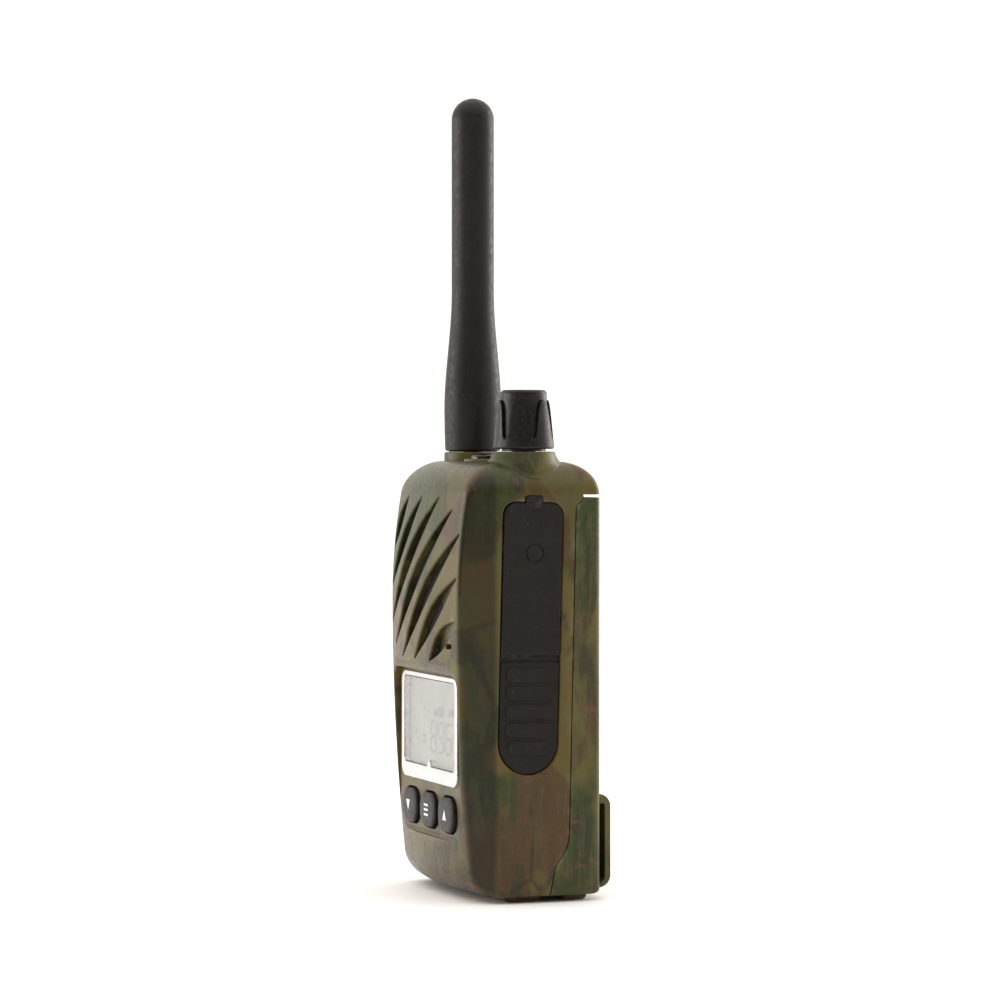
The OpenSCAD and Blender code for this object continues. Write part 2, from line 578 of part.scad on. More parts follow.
// ---------------------------------------------------------------- volume control
module encoder_body() color([0.3, 0.3, 0.32]) difference() {
    union() {
        box([antenna_x - 5.6, antenna_x + 5], [control_y - 5, control_y + 5], [encoder_z, nut_z]);
        rod_z(antenna_x, control_y, shaft_r + 0.7, nut_z - tiny, collar_z - 0.4);
    }
    rod_z(antenna_x, control_y, shaft_r + run_gap, encoder_z + 0.7, top_z + 9);
}
module encoder_nut() color([0.75, 0.75, 0.77]) difference() {
    translate([antenna_x, control_y, nut_z + 0.05]) rotate([0, 0, 30]) cylinder(r = shaft_r + 1.9, h = 0.75, $fn = 6);
    rod_z(antenna_x, control_y, shaft_r + 0.72, nut_z - 1, nut_z + 4);
}
module knob_shaft() color([0.8, 0.78, 0.7])
    rod_z(antenna_x, control_y, shaft_r, encoder_z + 0.8, knob_z + 0.72 * knob_h);
module volume_knob() color([0.07, 0.07, 0.07]) difference() {
    translate([antenna_x, control_y, knob_z]) rotate_extrude($fn = 64) polygon(concat(
        [[0, 0], [knob_r - 0.5, 0]], arc([knob_r - 0.5, 0.5], 0.5, -60, 0, 3),
        [[knob_top_r + 0.35, knob_h - 2.2]], arc([knob_top_r - 1, knob_h - 1.3], 1.3, 0, 90, 4), [[0, knob_h]]));
    rod_z(antenna_x, control_y, shaft_r, knob_z - 1, knob_z + 0.72 * knob_h);
    for (i = [0:knob_grips - 1]) translate([antenna_x, control_y, knob_z]) rotate([0, 0, (i + 0.35) * 360 / knob_grips])
        translate([knob_r + 2.35, 0, 2.4]) rotate([0, -13.5, 0]) cylinder(r = 3.1, h = knob_h - 5.4, $fn = 32);
}

// ---------------------------------------------------------------- antenna
function antenna_profile() = concat(
    [[0, 0], [antenna_foot_r - 0.75, 0], [antenna_foot_r - 0.3, 0.5], [antenna_foot_r - 0.1, 5]],
    [for (k = [0:8]) let (t = k / 8, e = t * t * (3 - 2 * t))
        [antenna_foot_r + (antenna_r - antenna_foot_r) * e, 10.5 + 31 * t]],
    arc([0, antenna_l - antenna_r], antenna_r, 0, 90, 8));
module antenna_sheath() color([0.06, 0.06, 0.06]) difference() {
    translate([-antenna_x, control_y, antenna_z]) rotate_extrude($fn = 64) polygon(antenna_profile());
    rod_z(-antenna_x, control_y, bore_r, antenna_z - 1, antenna_tip_z - antenna_r - 2);
}
module antenna_core() color([0.85, 0.85, 0.8]) difference() {
    rod_z(-antenna_x, control_y, core_r, antenna_z + 10, antenna_tip_z - antenna_r - 2.3);
    rod_z(-antenna_x, control_y, 1.5, antenna_z + 9, antenna_z + 15.2);
}
// A wire wound round the core
module antenna_coil() color([0.8, 0.5, 0.25]) {
    turns = 11;
    per_turn = 12;
    sides = 6;
    wire_r = 0.45;
    turn_r = core_r + wire_r + 0.25;
    rise = (antenna_l - antenna_r - 24) / turns;
    n = turns * per_turn;
    spots = [for (k = [0:n]) for (j = [0:sides - 1]) let (a = 360 * k / per_turn, b = 360 * j / sides,
        r = turn_r + wire_r * cos(b)) [r * cos(a), r * sin(a), rise * k / per_turn + wire_r * sin(b)]];
    translate([-antenna_x, control_y, antenna_z + 17]) polyhedron(spots, concat(
        [[for (j = [0:sides - 1]) j]],
        [for (k = [0:n - 1]) for (j = [0:sides - 1]) let (i = (j + 1) % sides, p = k * sides, q = p + sides)
            each [[p + i, p + j, q + j], [p + i, q + j, q + i]]],
        [[for (j = [sides - 1:-1:0]) n * sides + j]]));
}
module antenna_stud() color([0.8, 0.68, 0.35]) {
    rod_z(-antenna_x, control_y, stud_r, nut_z - 3, antenna_z + 9.8);
    rod_z(-antenna_x, control_y, bore_r - 0.05, antenna_z + 0.1, antenna_z + 8);
    rod_z(-antenna_x, control_y, 1.45, antenna_z + 9.7, antenna_z + 15);
}
module antenna_nut() color([0.75, 0.75, 0.77]) difference() {
    rod_z(-antenna_x, control_y, stud_r + 2, nut_z, nut_z + 0.8, 6);
    rod_z(-antenna_x, control_y, stud_r + 0.02, nut_z - 1, nut_z + 4);
}

// ---------------------------------------------------------------- top key
module top_key() color([0.07, 0.07, 0.07]) translate([0, top_key_y, 0]) rotate_extrude($fn = 48) polygon(concat(
    [[0, top_z - 2.6], [top_key_r + 0.9, top_z - 2.6], [top_key_r + 0.9, top_z - wall - 0.15],
        [top_key_r, top_z - wall - 0.15], [top_key_r, top_z + 1.1]],
    [for (a = [15:15:90]) [top_key_r * cos(a), top_z + 1.1 + 0.9 * sin(a)]]));
module top_key_ring() color([0.25, 0.26, 0.2]) difference() {
    rod_z(0, top_key_y, top_ring_r, top_z, top_z + 0.6);
    rod_z(0, top_key_y, top_key_r + key_gap, top_z - 1, top_z + 2);
}
module top_switch() color([0.7, 0.7, 0.68])
    box([-3, 3], [top_key_y - 3, top_key_y + 3], [bay_z1 + 1.6, top_z - 2.6 - top_key_travel - 0.1]);
module top_key_board() color([0.1, 0.35, 0.2])
    box([-6, 6], [top_key_y - 4.5, rboard_y + rboard_t], [bay_z1 + 0.4, bay_z1 + 1.6]);

// ---------------------------------------------------------------- side keys
module side_key(z, l) color([0.07, 0.07, 0.07]) {
    plate_x(shift(round_rect(side_key_d, l, 3), [side_key_y, z]), -half_w - side_proud, -flange_x);
    plate_x(shift(round_rect(side_key_d + 1.6, l + 1.6, 3), [side_key_y, z]), -flange_x - tiny, side_flange_t - flange_x);
}
module side_switch(z) color([0.7, 0.7, 0.68])
    box([side_flange_t - flange_x + side_travel + 0.1, 2.5 - rboard_hw], [rboard_y - 3.2, rboard_y], [z - 3, z + 3]);
module ptt_key() side_key(ptt_z, ptt_l);
module call_key() side_key(call_z, call_l);
module ptt_switch() side_switch(ptt_z);
module call_switch() side_switch(call_z);

// ---------------------------------------------------------------- socket cover
module cover_anchor() color([0.09, 0.09, 0.09]) lean_cover() {
    plate_x(cover_outline(0, anchor_z0, anchor_z1), cover_x0, cover_x1 - 0.3);
    for (i = [0:4]) let (z = anchor_z1 - 3.2 - 4.6 * i, w = i == 4 ? 10.6 : 12.4)
        plate_x(shift(round_rect(w, 3.5, 1.2, 3), [0, z]), cover_x1 - 0.3 - tiny, cover_x1);
    box([bead_x - 0.16, bead_x + 0.16], [-cover_w / 2, cover_w / 2], [anchor_z1 - tiny, hinge_z]);
    translate([bead_x, cover_w / 2, hinge_z]) rotate([90, 0, 0]) cylinder(r = bead_r, h = cover_w, $fn = 32);
    for (z = [anchor_z0 + 7, anchor_z1 - 6]) rod_x(0, z, 1.45, half_w - 4.6, cover_x0 + tiny, 24);
}
module cover_flap() color([0.09, 0.09, 0.09]) {
    lean_cover() {
        plate_x(cover_outline(0, flap_z0, flap_z1), cover_x0, cover_x1);
        tab(-0.1, cover_x0 + 0.6, cover_x1 + 0.15);
        box([bead_x - 0.16, bead_x + 0.16], [-cover_w / 2, cover_w / 2], [hinge_z + bead_r + 0.05, flap_z0 + tiny]);
    }
    for (z = socket_zs) rod_x(socket_y, z, mouth_r - 0.45, recess_x - mouth_d + 0.25, cover_x0 + tiny);
}

// ---------------------------------------------------------------- feet
function foot_outline(y0, y1) = [[y0 + 0.8, 0], [y1 - 0.8, 0], [y1, 0.6], [y1 + 0.2, base_z], [y0 - 0.2, base_z], [y0, 0.6]];
module feet(y0, y1) {
    for (s = [-1, 1]) plate_x(foot_outline(y0, y1), s * (half_w - 9.5) - 5, s * (half_w - 9.5) + 5);
}
module front_feet() color([0.3, 0.28, 0.2]) feet(-6.8, 2.8);
module rear_feet() color([0.3, 0.28, 0.2]) feet(9.2, 15.4);

// ---------------------------------------------------------------- battery
module battery_cover() color([0.33, 0.31, 0.22]) difference() {
    intersection() {
        casing_form();
        battery_side();
    }
    box([-tray_hw - seat_gap, tray_hw + seat_gap], [-9, tray_y + tray_d + seat_gap],
        [tray_z0 - seat_gap, tray_z1 + seat_gap]);
    box([1.2 - tray_hw, tray_hw - 1.2], [tray_y, back_y - cover_wall], [tray_z0 + 1, tray_z1 - 1]);
    box([4 - half_w, half_w - 4], [7.5, back_y - cover_wall], [base_z + 1.8, tray_z0 - 1.8]);
    for (x = [-6, 0, 6]) rod_z(x, charge_y, 1.6, base_z - 1, base_z + 1, 32);
}
module battery_tray() color([0.12, 0.12, 0.12]) difference() {
    box([-tray_hw, tray_hw], [tray_y, tray_y + tray_d], [tray_z0, tray_z1]);
    box([1.2 - tray_hw, tray_hw - 1.2], [tray_y + 1.3, tray_y + tray_d + 1], [tray_z0 + 1.2, tray_z1 - 1.2]);
    for (x = pin_xs) box([x - 1.6, x + 1.6], [tray_y - 1, tray_y + 2], [pin_z - 2.2, pin_z + 2.2]);
}
module battery_cells() color([0.2, 0.35, 0.6]) for (s = [-1, 1])
    plate_y(shift(round_rect(tray_hw - 2.4, cell_z1 - cell_z0, 2), [s * (tray_hw - 1.6) / 2, (cell_z0 + cell_z1) / 2]),
        cell_y, cell_y + cell_t);
module battery_board() color([0.1, 0.35, 0.2])
    box([3 - tray_hw, tray_hw - 3], [tray_y + 1.3, tray_y + 2.4], [tray_z0 + 2, cell_z0 - 1]);
module battery_pads() color([0.85, 0.7, 0.35])
    for (x = pin_xs) box([x - 1.4, x + 1.4], [tray_y + 0.05, tray_y + 1.3], [pin_z - 2, pin_z + 2]);
module charge_pads() color([0.85, 0.7, 0.35])
    for (x = [-6, 0, 6]) rod_z(x, charge_y, 1.5, base_z + 0.1, base_z + 1, 32);
module strap_loop() color([0.33, 0.31, 0.22]) {
    y1 = back_y + loop_gap + loop_t;
    r = loop_gap + loop_t;
    plate_x(concat([[back_y, loop_z]], arc([y1 - r, loop_z + r], r, -90, 0, 6), arc([y1 - r, loop_z + loop_h - r], r, 0, 90, 6),
        [[back_y, loop_z + loop_h]], [[back_y, loop_z + loop_h - 2.4]],
        arc([back_y + loop_gap - 0.5, loop_z + loop_h - 2.9], 0.5, 90, 0, 3),
        arc([back_y + loop_gap - 1.5, loop_z + 2.8], 1.5, 0, -90, 4), [[back_y, loop_z + 1.3]]), -loop_hw, loop_hw);
}

front_case();
grille_cloth();
speaker_gasket();
speaker_frame();
speaker_cone();
speaker_magnet();
mic_boot();
mic_capsule();
display_bezel();
display_window();
lcd_glass();
lcd_backlight();
display_board();
key_switches();
keypad_mat();
key_down();
key_menu();
key_up();
radio_board();
board_screws();
shield_can();
board_chips();
board_link();
socket_block();
chassis();
chassis_seal();
chassis_screws();
contact_block();
contact_pins();
encoder_body();
encoder_nut();
knob_shaft();
volume_knob();
antenna_sheath();
antenna_core();
antenna_coil();
antenna_stud();
antenna_nut();
top_key();
top_key_ring();
top_switch();
top_key_board();
ptt_key();
ptt_switch();
call_key();
call_switch();
cover_anchor();
cover_flap();
front_feet();
battery_cover();
battery_tray();
battery_cells();
battery_board();
battery_pads();
charge_pads();
strap_loop();
rear_feet();
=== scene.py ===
import math

import bmesh
import bpy
from mathutils import Matrix, Vector


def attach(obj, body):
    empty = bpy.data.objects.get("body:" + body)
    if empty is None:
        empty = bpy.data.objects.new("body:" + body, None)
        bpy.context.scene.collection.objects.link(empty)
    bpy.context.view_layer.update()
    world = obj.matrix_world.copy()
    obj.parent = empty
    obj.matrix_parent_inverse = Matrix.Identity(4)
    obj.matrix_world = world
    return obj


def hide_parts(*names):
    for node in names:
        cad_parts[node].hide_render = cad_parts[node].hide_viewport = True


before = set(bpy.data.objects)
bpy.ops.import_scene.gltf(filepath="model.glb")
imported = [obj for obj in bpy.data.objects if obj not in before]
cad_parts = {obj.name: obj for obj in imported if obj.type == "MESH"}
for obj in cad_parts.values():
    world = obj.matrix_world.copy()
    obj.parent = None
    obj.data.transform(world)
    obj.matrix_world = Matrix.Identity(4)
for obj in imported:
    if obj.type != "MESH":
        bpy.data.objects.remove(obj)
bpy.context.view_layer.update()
MM = 0.001

# ------------------------------------------------------------------ sizes of the casing
HALF_W = 29.5
BASE_Z = 1.6
TOP_Z = 110.6
FRONT_Y = -19.5
BACK_Y = 17.9
CREASE_X = 26.0
SIDE_CREASE_Y = -10.0
BOW = 2.2
WALL = 2.0
TOP_R = 8.4
SOLE_R = 1.4
CHIN_Z, CHIN_Y, CHIN_X = 7.2, 5.4, 5.4
BELLY_Z = 74.63
BACK_CORNER_R = 2.0
LEAN = math.hypot(HALF_W - CREASE_X, SIDE_CREASE_Y - FRONT_Y)
BEVEL_N = ((SIDE_CREASE_Y - FRONT_Y) / LEAN, -(HALF_W - CREASE_X) / LEAN)

# ------------------------------------------------------------------ sizes of what sits on it
PANEL_Y = FRONT_Y + 1.9
PANEL_LOW, PANEL_HIGH = 15.5, 58.4
GRILLE_LOW, GRILLE_HIGH = 60.3, 101.7
KEY_Z, KEY_PITCH, KEY_W, KEY_H, KEY_R = 21.4, 14.3, 11.8, 8.8, 3.8
KEY_BASE_Y, KEY_STAND = -15.45, 1.3
BEZEL_W, BEZEL_H, BEZEL_Z, BEZEL_R = 43.4, 27.6, 28.6, 3.0
CONTROL_X, CONTROL_Y = 19.2, 0.7
COLLAR_Z, COLLAR_R, COLLAR_FOOT_R, COLLAR_SWEEP = 113.1, 7.9, 8.9, 0.5
KNOB_R, KNOB_TAPER, KNOB_GAP = 7.75, 1.25 / 12.7, 0.65
WHIP_FOOT_R, WHIP_R, WHIP_H = 7.5, 5.55, 92.4
BAY_LOW, BAY_HIGH = 13.2, 101.3
LEDGE_Y, SEAL_Y = 1.9, 3.2
SHELF_Z = 103.45
MIC_X, MIC_Z = 21.2, 64.3
COVER_Y, COVER_W, COVER_R, HINGE_Z, COVER_LEAN = -1.3, 15.6, 3.4, 61.35, 1.4
FLAP_LOW, FLAP_HIGH = 62.25, 100.25
ANCHOR_LOW, ANCHOR_HIGH = 32.45, 60.45
COVER_IN, COVER_OUT, RECESS_X = 28.2, 29.6, 28.05
SOCKET_Y, SOCKET_ZS = -0.8, (89.75, 75.55)
EMBLEM_Y, EMBLEM_Z = -0.2, 87.7
SIDE_KEY_Y = -3.9
SIDE_KEYS = (("ptt_key", 75, 31, "talk_key"), ("call_key", 48, 10, "side_call_key"))
TOP_KEY_Y = -2.8
LOOP_LOW, LOOP_HIGH, LOOP_HALF_W = 3.0, 26.7, 27.3
FOOT_X, FOOT_HALF_W = 20, 5
LCD_FRONT_Y, SEGMENT_T = -15.47, 0.06


# ------------------------------------------------------------------ casing form
def quarter(t):
    """How far a quarter round has drawn in at a share t of its height."""
    return 1 - math.sqrt(max(0.0, 1 - min(1.0, t) ** 2))


def front_line(z):
    """Depth of the front creases, furthest out at the belly."""
    return FRONT_Y + ((BELLY_Z - z) ** 2 / 1280 if z < BELLY_Z else (z - BELLY_Z) ** 2 / 320)


def front_face(x, z):
    """Depth of the front skin at a point of the grille or the panel."""
    return front_line(z) - BOW * (1 - (x / CREASE_X) ** 2)


def softened(a, corner, b, n=6):
    """Points of a rounded corner from a to b."""
    a, corner, b = Vector(a), Vector(corner), Vector(b)
    return [a * (1 - t) ** 2 + corner * 2 * t * (1 - t) + b * t * t for t in (i / n for i in range(n + 1))]


def casing_section(z, off=0.0):
    """One level outline of the casing, drawn in by off, front first and then round by the right."""
    inset = off + (TOP_R - off) * quarter(max(0.0, z - (TOP_Z - TOP_R)) / (TOP_R - off))
    side_inset = inset + SOLE_R * quarter(max(0.0, BASE_Z + SOLE_R - z) / SOLE_R)
    chin = quarter(max(0.0, BASE_Z + CHIN_Z - z) / CHIN_Z)
    front_y = front_line(z) + inset + CHIN_Y * chin
    side_x = HALF_W - side_inset
    crease_x = CREASE_X - inset * (1 + BEVEL_N[1]) / BEVEL_N[0] - CHIN_X * chin
    crease_x = min(crease_x, side_x - 0.05)
    side_y = max(SIDE_CREASE_Y - inset * (1 - BEVEL_N[0]) / BEVEL_N[1], front_y + 0.4)
    back_y = BACK_Y - side_inset
    corner_r = max(0.3, BACK_CORNER_R - off)

    def front(u):
        return Vector((crease_x * u, front_y - BOW * (1 - u * u)))

    crease, side = Vector((crease_x, front_y)), Vector((side_x, side_y))
    run, span = (side - crease).normalized(), (side - crease).length
    near, far = min(1.5, 0.4 * span), min(2.2, 0.45 * span)
    front_end = 1 - near / crease_x
    right = softened(front(front_end), crease, crease + run * near)
    right += softened(side - run * far, side, side + Vector((0, far)), 7)
    y0, y1 = side_y + far, back_y - corner_r
    right += [Vector((side_x, y0 + (y1 - y0) * i / 9)) for i in range(1, 9)]
    right += [Vector((side_x - corner_r + corner_r * math.cos(a), y1 + corner_r * math.sin(a)))
              for a in (math.radians(15 * i) for i in range(7))]
    front_n, back_n = 36, 12
    line = [front(front_end * (2 * i / front_n - 1)) for i in range(1, front_n)]
    x_end = side_x - corner_r
    back = [Vector((x_end * (1 - 2 * i / back_n), back_y)) for i in range(1, back_n)]
    left = [Vector((-p.x, p.y)) for p in reversed(right)]
    return line + right + back + left


def casing_levels(z0, z1):
    """Heights of the casing's outlines, closer together where its form turns."""
    chin_top, shoulder = BASE_Z + CHIN_Z, TOP_Z - TOP_R
    zs = [BASE_Z + SOLE_R * (1 - math.cos(math.radians(a))) for a in range(0, 91, 15)]
    zs += [BASE_Z + SOLE_R + (CHIN_Z - SOLE_R) * i / 9 for i in range(1, 10)]
    zs += [chin_top + (shoulder - chin_top) * i / 44 for i in range(1, 45)]
    zs += [shoulder + TOP_R * math.sin(math.radians(a)) for a in range(5, 91, 5)]
    return [z0] + [z for z in zs if z0 + 0.02 < z < z1 - 0.02] + [z1]


# ------------------------------------------------------------------ modelling helpers
def skin(bm, rings):
    """Draws a closed skin through rings of points, one extrusion for each ring."""
    verts = [bm.verts.new(p) for p in rings[0]]
    n = len(verts)
    edges = [bm.edges.new((verts[i], verts[(i + 1) % n])) for i in range(n)]
    first = verts
    for ring in rings[1:]:
        made = bmesh.ops.extrude_edge_only(bm, edges=edges)["geom"]
        place = {v: i for i, v in enumerate(verts)}
        fresh = [None] * n
        for v in (g for g in made if isinstance(g, bmesh.types.BMVert)):
            for e in v.link_edges:
                below = e.other_vert(v)
                if below in place:
                    fresh[place[below]] = v
        for v, p in zip(fresh, ring):
            v.co = p
        verts = fresh
        edges = [bm.edges.get((verts[i], verts[(i + 1) % n])) for i in range(n)]
    bm.faces.new(first)
    bm.faces.new(verts)
    bmesh.ops.recalc_face_normals(bm, faces=bm.faces)
    return bm


def as_object(bm, name):
    mesh = bpy.data.meshes.new(name)
    bm.to_mesh(mesh)
    bm.free()
    obj = bpy.data.objects.new(name, mesh)
    bpy.context.scene.collection.objects.link(obj)
    return obj


def lofted(name, rings):
    return as_object(skin(bmesh.new(), rings), name)


def arc(cx, cz, r, a0, a1, n=8):
    """Points along an arc from angle a0 to a1."""
    angles = [math.radians(a0 + (a1 - a0) * i / n) for i in range(n + 1)]
    return [(cx + r * math.cos(a), cz + r * math.sin(a)) for a in angles]


def rounded(w, h, r, n=6, x=0.0, z=0.0):
    """Outline of a rounded rectangle."""
    out = []
    for side, up, start in ((1, 1, 0), (-1, 1, 90), (-1, -1, 180), (1, -1, 270)):
        out += arc(x + side * (w / 2 - r), z + up * (h / 2 - r), r, start, start + 90, n)
    return out


def grown(outline, by):
    """The outline moved outwards along its own normals."""
    n, out = len(outline), []
    for i in range(n):
        a, b = Vector(outline[i - 1]), Vector(outline[(i + 1) % n])
        t = (b - a).normalized()
        out.append((outline[i][0] + t.y * by, outline[i][1] - t.x * by))
    return out


def plate_y(name, outline, y0, y1):
    return lofted(name, [[(x, y, z) for x, z in outline] for y in (y0, y1)])


def plate_x(name, outline, x0, x1):
    return lofted(name, [[(x, y, z) for y, z in outline] for x in (x0, x1)])


def stepped_y(name, outline, steps):
    """A plate whose outline grows by the second value of each (depth, growth) step."""
    return lofted(name, [[(x, y, z) for x, z in grown(outline, g)] for y, g in steps])


def stepped_x(name, outline, steps):
    return lofted(name, [[(x, y, z) for y, z in grown(outline, g)] for x, g in steps])


def block(name, xs, ys, zs):
    bm = bmesh.new()
    bmesh.ops.create_cube(bm, size=1.0)
    bmesh.ops.scale(bm, vec=[b - a for a, b in (xs, ys, zs)], verts=bm.verts)
    bmesh.ops.translate(bm, vec=[(a + b) / 2 for a, b in (xs, ys, zs)], verts=bm.verts)
    return as_object(bm, name)


def rod(name, r, start, end, segments=48):
    a, b = Vector(start), Vector(end)
    bm = bmesh.new()
    bmesh.ops.create_cone(bm, cap_ends=True, segments=segments, radius1=r, radius2=r, depth=(b - a).length)
    turn = Vector((0, 0, 1)).rotation_difference(b - a).to_matrix().to_4x4()
    bmesh.ops.transform(bm, matrix=Matrix.Translation((a + b) / 2) @ turn, verts=bm.verts)
    return as_object(bm, name)


def turned(name, profile, x, y, steps=72):
    """A piece turned on a lathe about an upright line, from its (radius, height) profile."""
    bm = bmesh.new()
    verts = [bm.verts.new((r, 0, z)) for r, z in profile]
    for a, b in zip(verts, verts[1:]):
        bm.edges.new((a, b))
    bmesh.ops.spin(bm, geom=bm.verts[:] + bm.edges[:], cent=(0, 0, 0), axis=(0, 0, 1),
                   angle=2 * math.pi, steps=steps, use_merge=True)
    bmesh.ops.remove_doubles(bm, verts=bm.verts, dist=0.0005)
    holes = [e for e in bm.edges if e.is_boundary]
    if holes:
        bmesh.ops.holes_fill(bm, edges=holes)
    bmesh.ops.recalc_face_normals(bm, faces=bm.faces)
    bmesh.ops.translate(bm, vec=(x, y, 0), verts=bm.verts)
    return as_object(bm, name)


def carve(target, steps):
    """Runs a list of (operation, tool) cuts on a piece and leaves the result as its mesh."""
    for how, tool in steps:
        chop = target.modifiers.new(how, "BOOLEAN")
        chop.operation = how
        chop.solver = "MANIFOLD"
        chop.object = tool
    view = bpy.context.evaluated_depsgraph_get()
    view.update()
    mesh = bpy.data.meshes.new_from_object(target.evaluated_get(view))
    target.modifiers.clear()
    target.data = mesh
    for _, tool in steps:
        bpy.data.objects.remove(tool, do_unlink=True)
    return target


def cut(*tools):
    return [("DIFFERENCE", t) for t in tools]


def join(*tools):
    return [("UNION", t) for t in tools]


def finish(obj, look, body, replaces=(), sharp=35.0, bevel=0.0, segments=2, limit=40.0,
           weighted=True):
    """Scales a piece to metres, sets its shading, parents it to its body and hides the imported parts it
    replaces.
    """
    tiny = 0.0008
    bm = bmesh.new()
    bm.from_mesh(obj.data)
    bmesh.ops.remove_doubles(bm, verts=bm.verts, dist=tiny)
    bmesh.ops.dissolve_degenerate(bm, edges=bm.edges, dist=tiny)
    bmesh.ops.scale(bm, vec=(MM, MM, MM), verts=bm.verts)
    for f in bm.faces:
        f.smooth = True
        f.material_index = 0
    if not bevel:
        for e in bm.edges:
            e.smooth = len(e.link_faces) == 2 and e.calc_face_angle(0) < math.radians(sharp)
    bm.to_mesh(obj.data)
    bm.free()
    obj.data.materials.clear()
    obj.data.materials.append(look)
    if bevel:
        round_over = obj.modifiers.new("edges", "BEVEL")
        round_over.width = bevel * MM
        round_over.segments = segments
        round_over.limit_method = "ANGLE"
        round_over.angle_limit = math.radians(limit)
        round_over.harden_normals = True
    elif weighted:
        even = obj.modifiers.new("normals", "WEIGHTED_NORMAL")
        even.keep_sharp = True
        even.weight = 60
    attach(obj, body)
    if replaces:
        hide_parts(*replaces)
    return obj


def dress(obj, look):
    obj.data.materials.clear()
    obj.data.materials.append(look)


# ------------------------------------------------------------------ shader helpers
def material(name, rough=0.5, metallic=0.0, **sockets):
    m = bpy.data.materials.new(name)
    m.use_nodes = True
    shader = m.node_tree.nodes["Principled BSDF"]
    shader.inputs["Roughness"].default_value = rough
    shader.inputs["Metallic"].default_value = metallic
    for socket, value in sockets.items():
        shader.inputs[socket.replace("_", " ")].default_value = value
    return m, m.node_tree, shader


def node(tree, kind, inputs=(), **settings):
    n = tree.nodes.new(kind)
    for key, value in settings.items():
        setattr(n, key, value)
    for key, value in dict(inputs).items():
        if isinstance(value, bpy.types.NodeSocket):
            tree.links.new(value, n.inputs[key])
        else:
            n.inputs[key].default_value = value
    return n


def spread(tree, scale=(1.0, 1.0, 1.0), offset=(0.0, 0.0, 0.0), turn=(0.0, 0.0, 0.0)):
    """The piece's own coordinates in millimetres, stretched, moved and turned."""
    where = node(tree, "ShaderNodeTexCoord")
    settings = {"Vector": where.outputs["Object"], "Scale": tuple(v / MM for v in scale),
                "Location": offset, "Rotation": tuple(math.radians(a) for a in turn)}
    return node(tree, "ShaderNodeMapping", settings).outputs["Vector"]


def noise(tree, vector, scale, detail=3.0, rough=0.5, distort=0.0):
    settings = {"Vector": vector, "Scale": scale, "Detail": detail, "Roughness": rough, "Distortion": distort}
    return node(tree, "ShaderNodeTexNoise", settings).outputs["Fac"]


def between(tree, value, low, high, to_low=0.0, to_high=1.0):
    """A smooth step from to_low to to_high as the value goes from low to high."""
    settings = {"Value": value, "From Min": low, "From Max": high, "To Min": to_low, "To Max": to_high}
    return node(tree, "ShaderNodeMapRange", settings, interpolation_type="SMOOTHSTEP").outputs["Result"]


def blended(tree, fac, a, b, how="MIX"):
    m = node(tree, "ShaderNodeMix", data_type="RGBA", blend_type=how)
    for key, value in (("Factor", fac), ("A", a), ("B", b)):
        i = [k for k in m.inputs if k.name == key and (k.type == "RGBA" or key == "Factor")][0]
        if isinstance(value, bpy.types.NodeSocket):
            tree.links.new(value, i)
        else:
            i.default_value = value
    return [o for o in m.outputs if o.type == "RGBA"][0]


def worked(tree, how, *values):
    """The result of one sum on shader values."""
    return node(tree, "ShaderNodeMath", dict(enumerate(values)), operation=how).outputs[0]


def product(tree, a, b):
    return worked(tree, "MULTIPLY", a, b)


def rgb(r, g, b):
    """A colour from display values of 0 to 255."""
    shares = [v / 255 for v in (r, g, b)]
    return tuple(((v + 0.055) / 1.055) ** 2.4 if v > 10 / 255 else v / 12.92 for v in shares) + (1.0,)


def times(colour, by):
    """A colour darkened or tinted by up to three shares."""
    return tuple(c * v for c, v in zip(colour, by)) + (1.0,)


def wear(tree, colour, pale, amount=0.5, size=3.0):
    """Pales a colour along the edges that hands rub."""
    edge = node(tree, "ShaderNodeNewGeometry").outputs["Pointiness"]
    patchy = between(tree, noise(tree, spread(tree), 1 / size, 4), 0.4, 0.65)
    rub = product(tree, between(tree, edge, 0.515, 0.60), patchy)
    return blended(tree, product(tree, rub, amount), colour, pale)


def grain(tree, shader, fine=2.5, strength=0.2, height=0.05, coarse=0.0):
    """Moulded surface grain as a small bump."""
    h = noise(tree, spread(tree), fine, 3, 0.6)
    if coarse:
        h = worked(tree, "ADD", h, product(tree, noise(tree, spread(tree), coarse, 3), 2.0))
    b = node(tree, "ShaderNodeBump", {"Strength": strength, "Distance": height * MM, "Height": h})
    tree.links.new(b.outputs["Normal"], shader.inputs["Normal"])


# ------------------------------------------------------------------ finishes
OLIVE, GREEN, BROWN = rgb(90, 80, 36), rgb(50, 58, 20), rgb(74, 54, 30)
LEAF, DUSK, TWIG = rgb(76, 80, 40), rgb(38, 37, 24), rgb(30, 28, 20)
DRY_GRASS, RUST, DUST, RUBBED = rgb(88, 80, 44), rgb(96, 62, 40), rgb(120, 112, 74), rgb(134, 126, 100)


def twigs(t, at, seed):
    """Where thin dark twigs run through the print: the borders of stretched, bent cells."""
    bend = node(t, "ShaderNodeTexNoise", {"Vector": at, "Scale": 0.06, "Detail": 2.0}).outputs["Color"]
    wide = node(t, "ShaderNodeVectorMath", {0: bend, 1: (9.0, 9.0, 9.0)}, operation="MULTIPLY")
    upright = spread(t, (1, 1, 0.42), (seed, 2, 5), (20, 30, 0))
    bent = node(t, "ShaderNodeVectorMath", {0: upright, 1: wide.outputs["Vector"]}, operation="ADD")
    cells = node(t, "ShaderNodeTexVoronoi", {"Vector": bent.outputs["Vector"], "Scale": 0.06},
                 feature="DISTANCE_TO_EDGE")
    line = between(t, cells.outputs["Distance"], 0.008, 0.04, 1, 0)
    return product(t, line, between(t, noise(t, at, 0.05, 2), 0.53, 0.6))


